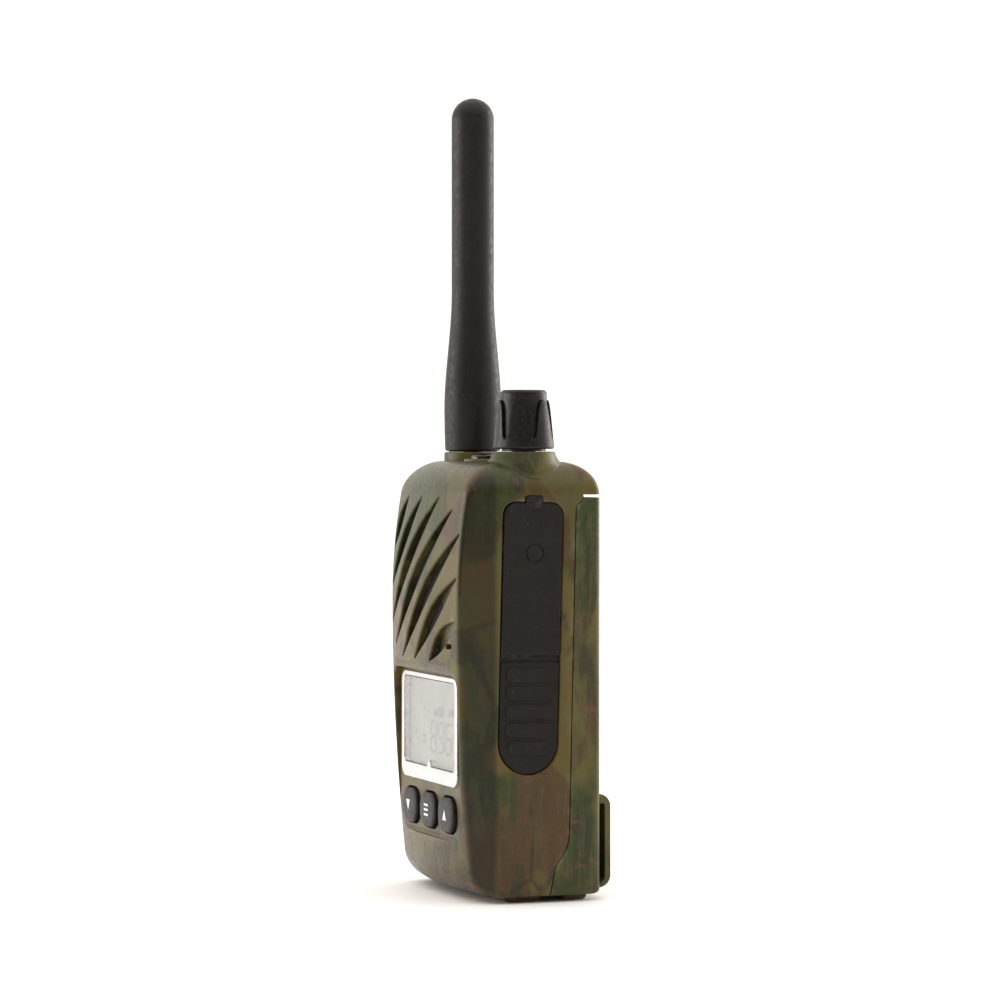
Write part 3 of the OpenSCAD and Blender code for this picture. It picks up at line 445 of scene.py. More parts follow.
def camouflage(name, seed, smudge=0.3, tint_and_shade=(1.0, 1.0, 1.0)):
    """Printed woodland pattern: broad soft patches of olive, green and brown with dark twigs and leaves, and
    painted shade on the slanted faces beside the front.
    """
    m, t, s = material(name, 0.55, Specular_IOR_Level=0.3)
    at, shift = spread(t, (1, 1, 0.62), seed), seed[0]

    def patch(under, over, share, edges, where, scale, *form):
        """Prints over on under where a noise of that form is above its edges."""
        mask = between(t, noise(t, where, scale, *form), *edges)
        return blended(t, product(t, mask, share), under, over)

    olive, green, brown = (times(c, tint_and_shade) for c in (OLIVE, GREEN, BROWN))
    blotch = spread(t, (1, 1, 0.7), (shift + 40, 7, 3))
    leaf = spread(t, (1.1, 1.1, 0.5), (shift + 11, 3, 9), (0, 35, 20))
    shade = spread(t, (1, 1, 0.8), (shift + 5, 31, 2), (15, 0, 0))
    streak = spread(t, (2.0, 2.0, 0.3), (shift, 13, 1), (28, 0, 0))
    stain = spread(t, (0.5, 1.2, 1.6), (shift + 19, 8, 4), (24, 0, 0))
    colour = patch(olive, green, 1.0, (0.47, 0.53), at, 0.036, 2, 0.5, 0.5)
    colour = patch(colour, brown, 0.9, (0.53, 0.575), blotch, 0.044, 2, 0.5, 0.8)
    colour = patch(colour, LEAF, 0.55, (0.57, 0.61), leaf, 0.08, 2, 0.45, 1.2)
    colour = patch(colour, DUSK, 0.7, (0.55, 0.63), shade, 0.06, 3, 0.5, 1.0)
    colour = blended(t, product(t, twigs(t, at, shift), 0.6), colour, TWIG)
    colour = patch(colour, DRY_GRASS, smudge, (0.45, 0.72), streak, 0.22, 4, 0.6)
    colour = patch(colour, RUST, smudge, (0.6, 0.68), stain, 0.1, 3, 0.55, 1.0)
    colour = patch(colour, DUST, 0.08, (0.35, 0.75), spread(t), 0.9, 5, 0.7)

    # The slanted faces beside the front are darkened: partly a deeper print, partly painted shade for how dark
    # these faces look under the light.
    place = node(t, "ShaderNodeSeparateXYZ", {"Vector": spread(t)}).outputs
    outer = between(t, worked(t, "ABSOLUTE", place["X"]), CREASE_X - 1.0, CREASE_X + 0.6)
    slant = product(t, outer, between(t, place["Y"], SIDE_CREASE_Y - 1.2, SIDE_CREASE_Y + 0.6, 1, 0))
    low = between(t, place["Z"], TOP_Z - 4.6, TOP_Z - 1.6, 1, 0)
    colour = blended(t, product(t, product(t, slant, low), 0.8), colour, (0.27, 0.22, 0.17, 1), "MULTIPLY")
    t.links.new(wear(t, colour, RUBBED, 0.45), s.inputs["Base Color"])
    rough = between(t, noise(t, spread(t), 1.2, 4), 0.3, 0.7, 0.30, 0.42)
    t.links.new(rough, s.inputs["Roughness"])
    grain(t, s, 2.2, 0.45, 0.06, 0.5)
    return m


def moulded(name, base, pale, rough=0.5, fine=2.0, strength=0.3, height=0.05, size=2.5, edge=0.35,
            coarse=0.0, **sockets):
    """Plastic or rubber of one colour, with grain, faint blotches, fine dust and rubbed edges."""
    m, t, s = material(name, rough, **sockets)
    blotch = between(t, noise(t, spread(t), 0.16, 4, 0.6), 0.35, 0.68)
    colour = blended(t, product(t, blotch, 0.35), base, pale)
    dust = between(t, noise(t, spread(t), 1.6, 2, 0.4), 0.70, 0.78)
    colour = blended(t, product(t, dust, 0.06), colour, rgb(190, 184, 174))
    rubbed = tuple(min(1, 2.2 * v + 0.03) for v in pale[:3]) + (1,)
    t.links.new(wear(t, colour, rubbed, edge, size), s.inputs["Base Color"])
    uneven = between(t, noise(t, spread(t), 0.8, 4), 0.3, 0.7, rough - 0.08, rough + 0.08)
    t.links.new(uneven, s.inputs["Roughness"])
    grain(t, s, fine, strength, height, coarse)
    return m


def metal(name, base, rough=0.3, brushed=(1.0, 1.0, 1.0), strength=0.08):
    """Metal with fine drawn lines, patches of uneven polish and a little tarnish."""
    m, t, s = material(name, rough, 1.0)
    patch = between(t, noise(t, spread(t), 0.25, 4, 0.6), 0.3, 0.75)
    tarnished = blended(t, product(t, patch, 0.3), base, times(base, (0.6, 0.6, 0.6)))
    t.links.new(tarnished, s.inputs["Base Color"])
    polish = between(t, noise(t, spread(t, brushed), 1.5, 4), 0.3, 0.7, rough * 0.7, rough * 1.4)
    t.links.new(polish, s.inputs["Roughness"])
    lines = noise(t, spread(t, brushed), 3.0, 3)
    bump = node(t, "ShaderNodeBump", {"Strength": strength, "Distance": 0.02 * MM, "Height": lines})
    t.links.new(bump.outputs["Normal"], s.inputs["Normal"])
    return m


def woven(name):
    """Black acoustic cloth with crossing threads."""
    m, t, s = material(name, 0.9)
    at = node(t, "ShaderNodeSeparateXYZ", {"Vector": spread(t)}).outputs
    across, upright = (worked(t, "SINE", product(t, at[axis], 7.0)) for axis in ("X", "Z"))
    weave = product(t, across, upright)
    fleck = product(t, noise(t, spread(t), 1.5, 3), 0.5)
    lit = between(t, worked(t, "ADD", weave, fleck), -0.5, 1.2)
    t.links.new(blended(t, lit, rgb(8, 8, 8), rgb(24, 23, 21)), s.inputs["Base Color"])
    t.links.new(between(t, noise(t, spread(t), 0.6, 2), 0.3, 0.7, 0.85, 0.95), s.inputs["Roughness"])
    bump = node(t, "ShaderNodeBump", {"Strength": 0.6, "Distance": 0.08 * MM, "Height": weave})
    t.links.new(bump.outputs["Normal"], s.inputs["Normal"])
    return m


def clear_pane(name):
    """Hard clear plastic with a faint haze and light scuffs."""
    m, t, s = material(name, 0.06, IOR=1.49, Transmission_Weight=1.0)
    scuff = noise(t, spread(t, (0.3, 1, 2.5), (0, 0, 0), (0, 25, 0)), 1.2, 5, 0.7)
    t.links.new(between(t, scuff, 0.4, 0.75, 0.02, 0.12), s.inputs["Roughness"])
    haze = between(t, noise(t, spread(t), 0.3, 3), 0.35, 0.7)
    t.links.new(blended(t, haze, (1, 1, 1, 1), (0.93, 0.95, 0.96, 1)), s.inputs["Base Color"])
    bump = node(t, "ShaderNodeBump", {"Strength": 0.05, "Distance": 0.01 * MM, "Height": scuff})
    t.links.new(bump.outputs["Normal"], s.inputs["Normal"])
    return m


camo_case = camouflage("camouflage_case", (3.0, 5.0, 1.0), 0.3, (0.84, 0.80, 0.68))
# A darker copy of the print: painted shade for the walls and floors of the grille slots.
camo_slot_shade = camouflage("camouflage_slots_painted_shade", (3.0, 5.0, 1.0), 0.1, (0.30, 0.28, 0.22))
camo_battery = camouflage("camouflage_battery", (31.0, 14.0, 8.0), 0.6, (0.86, 0.92, 0.98))

cover_rubber = moulded("cover_rubber", rgb(22, 19, 17), rgb(30, 27, 25), 0.6, 1.8, 0.5,
                       Specular_IOR_Level=0.22)
antenna_rubber = moulded("antenna_rubber", rgb(22, 17, 14), rgb(32, 27, 24), 0.46, 1.6, 0.5,
                         coarse=0.3, Specular_IOR_Level=0.25)
knob_rubber = moulded("knob_rubber", rgb(20, 16, 14), rgb(30, 26, 23), 0.36, 1.8, 0.4, 0.04,
                      Specular_IOR_Level=0.25)
key_black = moulded("key_black", rgb(20, 17, 15), rgb(30, 27, 25), 0.4, 2.0, 0.25, 0.03,
                    Specular_IOR_Level=0.22)
key_gloss = moulded("key_gloss", rgb(22, 21, 20), rgb(32, 30, 28), 0.16, 1.5, 0.08, 0.02)
mark_white = moulded("mark_white", rgb(226, 224, 218), rgb(238, 236, 230), 0.45, 1.5, 0.15, 0.02)
foot_rubber = moulded("foot_rubber", rgb(84, 66, 44), rgb(104, 84, 58), 0.75, 1.4, 0.6, 0.08)
inner_black = moulded("inner_black", rgb(24, 24, 24), rgb(40, 40, 40), 0.5, 2.0, 0.2, 0.03)
board_green = moulded("board_green", rgb(16, 66, 38), rgb(26, 90, 54), 0.3, 1.0, 0.3, 0.03, coarse=0.4)
seal_grey = moulded("seal_grey", rgb(74, 74, 74), rgb(96, 96, 96), 0.7, 1.5, 0.3, 0.04)
cone_paper = moulded("cone_paper", rgb(30, 28, 27), rgb(48, 45, 42), 0.8, 1.2, 0.8, 0.08)
chip_epoxy = moulded("chip_epoxy", rgb(20, 20, 21), rgb(34, 34, 36), 0.35, 2.2, 0.3, 0.03)
diffuser_white = moulded("diffuser_white", rgb(228, 228, 222), rgb(240, 240, 236), 0.4, 1.5, 0.1, 0.02)
rod_glassfibre = moulded("rod_glassfibre", rgb(206, 204, 190), rgb(226, 224, 212), 0.5, 1.2, 0.3, 0.03)
cell_wrap = moulded("cell_wrap", rgb(30, 52, 110), rgb(44, 70, 136), 0.25, 1.0, 0.2, 0.04)
lcd_grey = moulded("lcd_grey", rgb(126, 124, 118), rgb(142, 140, 134), 0.35, 1.0, 0.1, 0.01, 4.0, 0.1)
segment_dark = moulded("segment_dark", rgb(66, 66, 64), rgb(82, 82, 78), 0.4, 1.5, 0.1, 0.01)

steel_tinned = metal("steel_tinned", (0.62, 0.62, 0.63, 1), 0.32, (0.4, 0.4, 3.0))
steel_dark = metal("steel_dark", (0.30, 0.30, 0.32, 1), 0.42)
cast_alloy = metal("cast_alloy", (0.52, 0.53, 0.54, 1), 0.5, (1, 1, 1), 0.6)
gold_plate = metal("gold_plate", (0.80, 0.60, 0.26, 1), 0.25)
copper = metal("copper", (0.72, 0.36, 0.20, 1), 0.3)
bezel_silver = metal("bezel_silver", (0.66, 0.65, 0.65, 1), 0.27, (3.0, 3.0, 0.3), 0.1)
shaft_steel = metal("shaft_steel", (0.45, 0.45, 0.46, 1), 0.35, (0.3, 0.3, 3.0))

window_clear = clear_pane("window_clear")
cloth_black = woven("cloth_black")


# ------------------------------------------------------------------ shared outlines
def leaned(outline):
    """Points drawn in the side cover's own leaning frame, as (depth, height) on the casing."""
    c, s = math.cos(math.radians(COVER_LEAN)), math.sin(math.radians(COVER_LEAN))
    return [(COVER_Y + y * c + (z - HINGE_Z) * s, HINGE_Z - y * s + (z - HINGE_Z) * c) for y, z in outline]


def cover_outline(low, high, g=0.0):
    """The side cover between two heights: a round foot on the anchor, round top corners on the flap."""
    w, r = COVER_W / 2 + g, COVER_R
    if low < HINGE_Z - 2:
        foot = arc(0, ANCHOR_LOW + COVER_W / 2, w, 180, 360, 24)
    else:
        foot = [(-w, low - g), (w, low - g)]
    if high < HINGE_Z + 2:
        return foot + [(w, high + g), (-w, high + g)]
    return foot + arc(w - r, high + g - r, r, 0, 90, 6) + arc(r - w, high + g - r, r, 90, 180, 6)


def lip(floor, face, radius, reach=6.0):
    """(depth, growth) steps of a cutter that leaves a rounded edge where it comes out at face."""
    way = 1 if face > floor else -1
    steps = [(face - way * radius * (1 - math.sin(a)), radius * (1 - math.cos(a)))
             for a in (math.radians(d) for d in (0, 22, 45, 68, 90))]
    return [(floor, 0.0)] + steps + [(face + way * reach, radius)]


def opening_y(name, outline, floor, face, radius):
    return stepped_y(name, outline, lip(floor, face, radius))


def opening_x(name, outline, floor, face, radius):
    return stepped_x(name, outline, lip(floor, face, radius))


def opening_z(name, r, x, y, floor, face, radius):
    ring = [2 * math.pi * i / 48 for i in range(48)]
    return lofted(name, [[(x + (r + g) * math.cos(a), y + (r + g) * math.sin(a), z) for a in ring]
                         for z, g in lip(floor, face, radius)])


def parting(g):
    """The line where the battery meets the casing, seen from the side, with slightly eased corners."""
    p = [Vector((y - g, z)) for y, z in (
        (3.7, BASE_Z - 3), (4.6, BASE_Z + 2.9), (5.6, BASE_Z + 7.4), (8.6, BASE_Z + 11.9),
        (9.3, BASE_Z + 14.9), (11.1, BAY_HIGH - 1.9), (13.2, BAY_HIGH + 0.3))]
    ease = 0.9
    line = [p[0]]
    for a, b, c in zip(p, p[1:], p[2:]):
        line += softened(b + (a - b).normalized() * ease, b, b + (c - b).normalized() * ease, 4)
    return [tuple(v) for v in line] + [tuple(p[-1])]


def outer_casing(name):
    return lofted(name, [[(p.x, p.y, z) for p in casing_section(z)] for z in casing_levels(BASE_Z, TOP_Z)])


# ------------------------------------------------------------------ front casing
SLOPE = math.radians(42)
SLOT_U = Vector((math.cos(SLOPE), math.sin(SLOPE)))
SLOT_V = Vector((math.sin(SLOPE), -math.cos(SLOPE)))
SLOT_PITCH, SLOT_MIDDLE = 7.7, Vector((0, 81))
TONGUES = (0.42, 0.42, 0.40, 0.34, 0.17, 0.115, 0.11)


def slot_ends(i):
    """Lower and upper point of a slot, where its slanted line meets the edge of the grille field."""
    d = SLOT_PITCH * (i - 3)

    def reach(d):
        return min((25 - d * SLOT_V.x) / SLOT_U.x, (20.7 - d * SLOT_V.y) / SLOT_U.y, 26.5)

    low, high = 0.94 * d, 1.06 * d
    return (SLOT_MIDDLE + low * SLOT_V - reach(-low) * SLOT_U,
            SLOT_MIDDLE + high * SLOT_V + reach(high) * SLOT_U)


def slot_cutter(i):
    """A leaf-shaped slot with rounded lips, its floor rising to a tongue at the upper end."""
    a, b = slot_ends(i)
    length = (b - a).length
    side = Vector((-(b - a).y, (b - a).x)) / length
    wide, lip_r = min(4.6, length / 3.0), 0.5
    lip_steps = [(lip_r * (1 - math.cos(t)), lip_r * (1 - math.sin(t)))
                 for t in (math.radians(d) for d in (90, 68, 45, 22, 0))]
    rings = []
    for k in range(33):
        s = (1 - math.cos(math.pi * k / 32)) / 2
        up, down = (share * wide * math.sin(math.pi * s) + 0.1 for share in (0.62, 0.38))
        deep = min(WALL + 1.3, 0.55 + (1 - s) * length * TONGUES[i])
        edge = [(lip_r, -4.0)] + lip_steps + [(0.0, deep)]
        ring = []
        for w, turn, points in ((up, 1, edge), (down, -1, edge[::-1])):
            for out, depth in points:
                p = a + (b - a) * s + side * turn * (w + out)
                ring.append((p.x, front_face(p.x, p.y) + depth, p.y))
        rings.append(ring)
    return lofted("slot_cutter", rings)


def panel_cutter():
    """The sunk panel of display and keys, with a ramp along its top edge."""
    rings = []
    for share, depth in ((1.0, -4.0), (1.0, 0.0), (0.62, 0.06), (0.3, 0.2), (0.1, 0.5), (0.0, None)):
        half_w, r = 24.35 + 0.85 * share, 3.6 + 1.4 * share
        low, high = 15.9 - 0.9 * share, 56.9 + 2.4 * share
        ring = []
        for x, z in rounded(2 * half_w, high - low, r, 8, 0, (low + high) / 2):
            ramp = PANEL_Y - 0.4 * share - 0.05
            ring.append((x, PANEL_Y if depth is None else min(front_face(x, z) + depth, ramp), z))
        rings.append(ring)
    return lofted("panel_cutter", rings)


def inner_space():
    """The hollow of the casing, with its thick panel wall and side recess wall left standing."""
    zs = casing_levels(BASE_Z + WALL, TOP_Z - WALL)
    hollow = lofted("hollow", [[(p.x, p.y, z) for p in casing_section(z, WALL)] for z in zs])
    loft = block("loft", (-40, 40), (LEDGE_Y - 1, 40), (SHELF_Z, 120))
    room = carve(block("room", (-40, 40), (-40, LEDGE_Y), (0, 120)), join(loft))
    panel_wall = block("panel_wall", (-40, 40), (-40, PANEL_Y + WALL), (PANEL_LOW - 2, PANEL_HIGH + 2))
    recess_wall = block("recess_wall", (HALF_W - 3.2, 40), (-10.6, LEDGE_Y + 1),
                        (ANCHOR_LOW - 1.5, FLAP_HIGH + 3.5))
    return carve(hollow, [("INTERSECT", room)] + cut(panel_wall, recess_wall))


def roof(x, y):
    """Height of the casing's rounded top at a point."""
    inset = max(0.0, min(HALF_W - abs(x), BACK_Y - y, TOP_R))
    return TOP_Z - TOP_R + TOP_R * math.sqrt(max(0.0, 1 - (1 - inset / TOP_R) ** 2))


def knob_collar():
    """The knob's collar, a short cone that sweeps out where it meets the casing."""
    zs = [105] + [106 + 0.2 * k for k in range(34)] + [COLLAR_Z - d for d in (0.3, 0.12, 0.03, 0)]
    rings = []
    for z in zs:
        ring = []
        for c, s in ((math.cos(a), math.sin(a)) for a in (2 * math.pi * k / 96 for k in range(96))):
            climbed = max(0.0, min(1.0, (z - 109.9) / 3.1))
            r = COLLAR_FOOT_R - (COLLAR_FOOT_R - COLLAR_R) * climbed
            rise = z - roof(CONTROL_X + (r + 0.3) * c, CONTROL_Y + (r + 0.3) * s)
            r += COLLAR_SWEEP * max(0.0, 1 - max(0.0, rise) / 1.6) ** 2
            r -= 0.3 * quarter(max(0.0, z - COLLAR_Z + 0.3) / 0.3)
            ring.append((CONTROL_X + r * c, CONTROL_Y + r * s, z))
        rings.append(ring)
    return lofted("knob_collar", rings)


def antenna_collar():
    profile = [(0, 105), (7.5, 105), (7.5, 112.45), (7.4, 112.75), (7.15, 112.9), (0, 112.9)]
    return turned("antenna_collar", profile, -CONTROL_X, CONTROL_Y)


def upright_bore(name, r, x, segments=48):
    """A bore down through a collar."""
    return rod(name, r, (x, CONTROL_Y, 105), (x, CONTROL_Y, 119), segments)


def build_casing():
    """The front casing: one skin, hollowed, opened for the battery and cut for all that sits in it."""
    case = outer_casing("front_casing")
    carve(case, join(knob_collar(), antenna_collar()))
    behind = [(12.9, BAY_HIGH + 1.0), (40, BAY_HIGH + 1.0), (40, BASE_Z - 3)]
    display_hole = rounded(BEZEL_W - 2.4, BEZEL_H - 3.6, 2, 6, 0, BEZEL_Z + BEZEL_H / 2 + 0.9)
    carve(case, cut(
        inner_space(),
        plate_x("battery_room", parting(0.3) + behind, -45, 45),
        block("bay", (WALL - HALF_W, HALF_W - WALL), (SEAL_Y, 40), (BAY_LOW, BAY_HIGH)),
        block("ledge", (5 - HALF_W, HALF_W - 5), (LEDGE_Y - 1, SEAL_Y + 1), (BAY_LOW + 1.6, BAY_HIGH - 1.6)),
        panel_cutter(),
        plate_y("display_opening", display_hole, -40, 0)))
    key_holes = [rounded(KEY_W + 0.6, KEY_H + 0.6, 4, 8, i * KEY_PITCH, KEY_Z) for i in (-1, 0, 1)]
    carve(case, cut(*[opening_y("key_opening", hole, -10, PANEL_Y, 0.3) for hole in key_holes]))
    carve(case, cut(*[slot_cutter(i) for i in range(len(TONGUES))]))
    mic = plate_y("mic_opening", rounded(3.3, 1.4, 0.65, 6, MIC_X, MIC_Z), -40, -14.9)
    bed = leaned(cover_outline(ANCHOR_LOW, FLAP_HIGH, 0.25))
    cover_bed = opening_x("cover_bed", bed, RECESS_X, HALF_W, 0.55)
    tab_bed = plate_x("tab_bed", leaned(rounded(4.9, 3.6, 0.9, 5, 0, FLAP_HIGH + 0.2)), RECESS_X + 0.6, 40)
    sockets = [rod("socket_opening", 4.05, (24.5, SOCKET_Y, z), (HALF_W, SOCKET_Y, z)) for z in SOCKET_ZS]
    pegs = [rod("peg_opening", 1.6, (24.5, y, z), (HALF_W, y, z), 24) for y, z in peg_places()]
    carve(case, cut(mic, cover_bed, tab_bed, *sockets, *pegs))
    side_holes = [rounded(9.6, length + 0.6, 3.3, 8, SIDE_KEY_Y, z) for _, z, length, _ in SIDE_KEYS]
    side_keys = [opening_x("side_key_opening", hole, -26.5, -HALF_W, 0.35) for hole in side_holes]
    carve(case, cut(*side_keys,
                    upright_bore("bush_opening", 3.85, CONTROL_X),
                    upright_bore("stud_opening", 2.55, -CONTROL_X, 32),
                    opening_z("top_key_opening", 3.8, 0, TOP_KEY_Y, 105, TOP_Z, 0.3)))
    finish(case, camo_case, "radio", ["front_case"], sharp=38)
    # Painted shade in the grille slots.
    paint_slot_shade(case)


def paint_slot_shade(case):
    """Paints shade onto the walls and floors of the grille slots, as a darker copy of the print."""
    case.data.materials.append(camo_slot_shade)
    for face in case.data.polygons:
        x, y, z = (v / MM for v in face.center)
        in_grille = abs(x) < CREASE_X + 0.3 and GRILLE_LOW - 1 < z < GRILLE_HIGH + 1
        if in_grille and 0.42 < y - front_face(x, z) < 4:
            face.material_index = 1


def build_cloth():
    """Acoustic cloth laid against the inside of the grille."""
    low, high, half_w, thick = GRILLE_LOW - 0.4, GRILLE_HIGH + 1.2, 25.2, 0.4
    rings = []
    for z in (low + (high - low) * k / 24 for k in range(25)):
        xs = [half_w * (2 * i / 30 - 1) for i in range(31)]
        face = [(x, front_line(z) + WALL - BOW * (1 - (x / 24.6) ** 2) + 0.12, z) for x in xs]
        rings.append(face + [(x, y + thick, z) for x, y, z in reversed(face)])
    finish(lofted("grille_cloth_sheet", rings), cloth_black, "radio", ["grille_cloth"])


# ------------------------------------------------------------------ battery
def build_battery():
    """The pack's outer shell behind the parting line, and the strap loop across its back."""
    shell = outer_casing("battery_shell")
    behind = plate_x("behind", parting(0) + [(40, BAY_HIGH + 0.1), (40, BASE_Z - 3)], -45, 45)
    charge_holes = [rod("charge_opening", 1.6, (x, 12.7, BASE_Z - 1), (x, 12.7, BASE_Z + 1), 32)
                    for x in (-6, 0, 6)]
    inside_y = BACK_Y - 1.6
    carve(shell, [("INTERSECT", behind)] + cut(
        block("tray_room", (-25.5, 25.5), (-9, 11.7), (14.3, 100.4)),
        block("cell_room", (-24.1, 24.1), (6.5, inside_y), (15.5, 99.2)),
        block("foot_room", (4 - HALF_W, HALF_W - 4), (7.5, inside_y), (BASE_Z + 1.8, 12.7)),
        *charge_holes))
    finish(shell, camo_battery, "battery", ["battery_cover"], sharp=38)

    outline = ([(BACK_Y - 0.3, LOOP_LOW)] + arc(17.9, LOOP_LOW + 3.2, 3.2, -90, 0)
               + arc(17.9, LOOP_HIGH - 3.2, 3.2, 0, 90) + [(BACK_Y - 0.3, LOOP_HIGH)])
    slit = ([(BACK_Y + 0.02, LOOP_LOW + 1.3)] + arc(18.1, LOOP_LOW + 2.8, 1.5, -90, 0, 6)
            + arc(19.1, LOOP_HIGH - 2.9, 0.5, 0, 90, 4) + [(BACK_Y + 0.02, LOOP_HIGH - 2.4)])
    loop = plate_x("strap_loop_bar", outline, -LOOP_HALF_W, LOOP_HALF_W)
    carve(loop, cut(plate_x("slit", slit, -45, 45)))
    finish(loop, camo_battery, "battery", ["strap_loop"], bevel=0.45, segments=3, limit=50)


# ------------------------------------------------------------------ feet
def build_feet():
    for name, y0, y1, body, node_name, slot in (
            ("front_foot", -6.8, 2.8, "radio", "front_feet", "camo_case"),
            ("rear_foot", 9.2, 15.4, "battery", "rear_feet", "camo_battery")):
        outline = [(y0 + 0.8, 0), (y1 - 0.8, 0), (y1, 0.6), (y1 + 0.2, BASE_Z), (y0 - 0.2, BASE_Z), (y0, 0.6)]
        for x in (-FOOT_X, FOOT_X):
            foot = plate_x(name, outline, x - FOOT_HALF_W, x + FOOT_HALF_W)
            finish(foot, foot_rubber, body, [node_name], bevel=0.25, segments=3, limit=30)


# ------------------------------------------------------------------ knob
def knob_radius(z):
    """Radius of the knob's petals at a height above its foot."""
    return KNOB_R - KNOB_TAPER * max(0.0, z)


def petal_gap(i, z0):
    """Cutter of the gap between two petals: pointed below, wide above, with rounded lips."""
    half = [(0.0, 2.5), (0.45, 2.75), (0.72, 3.2), (1.02, 5.2), (1.32, 7.4), (1.66, 9.4), (2.05, 10.9),
            (2.6, 11.9), (3.3, 12.5), (4.3, 12.75)]
    shape = half + [(4.3, 14.5), (-4.3, 14.5)] + [(-w, z) for w, z in reversed(half[1:])]
    turn = math.radians(60 * i - 0.5)
    out, along = Vector((math.cos(turn), math.sin(turn))), Vector((-math.sin(turn), math.cos(turn)))
    rings = []
    for depth, g in ((-1.8, -0.05), (-0.4, 0.0), (-0.16, 0.07), (0.0, 0.26), (3.0, 0.5)):
        ring = []
        for w, z in grown(shape, g):
            p = out * (knob_radius(z) + depth) + along * w
            ring.append((CONTROL_X + p.x, CONTROL_Y + p.y, z0 + z))
        rings.append(ring)
    return lofted("petal_gap", rings)


def build_knob():
    """A cone with six raised petals standing on an inner core, under a stepped cap."""
    z0 = COLLAR_Z + KNOB_GAP

    def on_knob(name, profile, steps=120):
        return turned(name, [(r, z0 + z) for r, z in profile], CONTROL_X, CONTROL_Y, steps)

    petals = on_knob("petal_cone", [(0, 0), (7.25, 0), (7.5, 0.08), (7.68, 0.28), (KNOB_R, 0.55)]
                     + [(knob_radius(z), z) for z in (3, 6, 9, 11.6)]
                     + [(6.56, 12.2), (6.48, 12.42), (6.3, 12.5), (0, 12.5)])
    carve(petals, cut(*[petal_gap(i, z0) for i in range(6)]))
    core = on_knob("knob_core", [(0, 0.4), (7.0, 0.4)] + [(knob_radius(z) - 0.85, z) for z in (2, 6, 10)]
                   + [(5.85, 11.6), (5.85, 13.5)] + arc(4.85, 13.9, 1.0, 0, 90, 7) + [(0, 14.9)])
    skirt = on_knob("knob_skirt", [(3.95, -0.58), (5.6, -0.58), (5.6, 1), (3.95, 1), (3.95, -0.58)], 72)
    bore = rod("shaft_bore", 3.0, (CONTROL_X, CONTROL_Y, z0 - 1), (CONTROL_X, CONTROL_Y, z0 + 10.7))
    carve(petals, join(core, skirt) + cut(bore))
    finish(petals, knob_rubber, "knob", ["volume_knob"], sharp=42)


# ------------------------------------------------------------------ antenna
def build_antenna():
    """The rubber whip: a short neck, a swelling foot that thins smoothly, and a round tip."""
    profile = [(0, -0.25), (6.3, -0.25), (6.3, 0), (6.75, 0), (7.1, 0.12), (7.28, 0.4), (7.4, 5)]
    for t in (k / 12 for k in range(13)):
        profile.append((WHIP_FOOT_R - (WHIP_FOOT_R - WHIP_R) * t * t * (3 - 2 * t), 10.5 + 31 * t))
    profile += [(WHIP_R, 50 + 9 * k) for k in range(4)]
    profile += arc(0, WHIP_H - WHIP_R, WHIP_R, 0, 90, 14)[:-1] + [(0, WHIP_H)]
    z0 = COLLAR_Z + 0.1
    whip = turned("antenna_whip", [(r, z0 + z) for r, z in profile], -CONTROL_X, CONTROL_Y, 96)
    finish(whip, antenna_rubber, "radio", ["antenna_sheath"], sharp=45)


# ------------------------------------------------------------------ keys
ICONS = {"down": [[(-1.35, 1.35), (0, -1.35), (1.35, 1.35)]],
         "up": [[(-1.35, -1.35), (1.35, -1.35), (0, 1.35)]],
         "menu": [[(-1.5, z - 0.28), (1.5, z - 0.28), (1.5, z + 0.28), (-1.5, z + 0.28)]
                  for z in (-1.25, 0, 1.25)]}


def pillow(name, x, z, top, crown):
    """A front key with rounded shoulders and a softly domed face."""
    outline = rounded(KEY_W, KEY_H, KEY_R, 8, x, z)
    shoulders = [(KEY_BASE_Y, 0.0)] + [(top + share * crown, g) for share, g in (
        (1.0, 0.0), (0.62, -0.08), (0.36, -0.3), (0.18, -0.75), (0.1, -1.5))]
    rings = [[(px, y, pz) for px, pz in grown(outline, g)] for y, g in shoulders]
    rim = rings[-1]
    for k in (0.72, 0.4):
        rings.append([(x + (px - x) * k, top + 0.1 * crown * k * k, z + (pz - z) * k) for px, _, pz in rim])
    return lofted(name, rings)


def build_front_keys():
    top = PANEL_Y - KEY_STAND
    for i, name in enumerate(("down", "menu", "up")):
        x, body = (i - 1) * KEY_PITCH, name + "_key"
        key = pillow(name + "_key_cap", x, KEY_Z, top, 0.9)
        flange = plate_y("flange", rounded(KEY_W + 1.6, KEY_H + 1.2, 3, 6, x, KEY_Z), -15.5, -14.9)
        carve(key, join(flange))
        finish(key, key_black, body, ["key_" + name], sharp=50)
        for k, shape in enumerate(ICONS[name]):
            outline = [(x + px, KEY_Z + pz) for px, pz in shape]
            mark = plate_y(f"{name}_mark_{k}", outline, top - 0.02, top + 0.5)
            finish(mark, mark_white, body, (), weighted=False)


def build_side_keys():
    """Two long keys on the left, ribbed for the thumb."""
    for name, z, length, body in SIDE_KEYS:
        key = stepped_x(name + "_cap", rounded(9, length, 3, 8, SIDE_KEY_Y, z), (
            (-27.3, 0), (-29.9, 0), (-30.3, -0.15), (-30.5, -0.45), (-30.58, -0.9), (-30.6, -1.5)))
        flange = plate_x("flange", rounded(10.6, length + 1.6, 3, 6, SIDE_KEY_Y, z), -27.35, -26.75)
        count = int(length / 6.6)
        ribs_y, ribs_z = (SIDE_KEY_Y - 2.6, SIDE_KEY_Y + 2.6), [z + 2.2 * k for k in range(-count, count + 1)]
        grips = [block("grip", (-31, -30.35), ribs_y, (at - 0.45, at + 0.45)) for at in ribs_z]
        carve(key, join(flange) + cut(*grips))
        finish(key, key_black, body, [name], sharp=40)


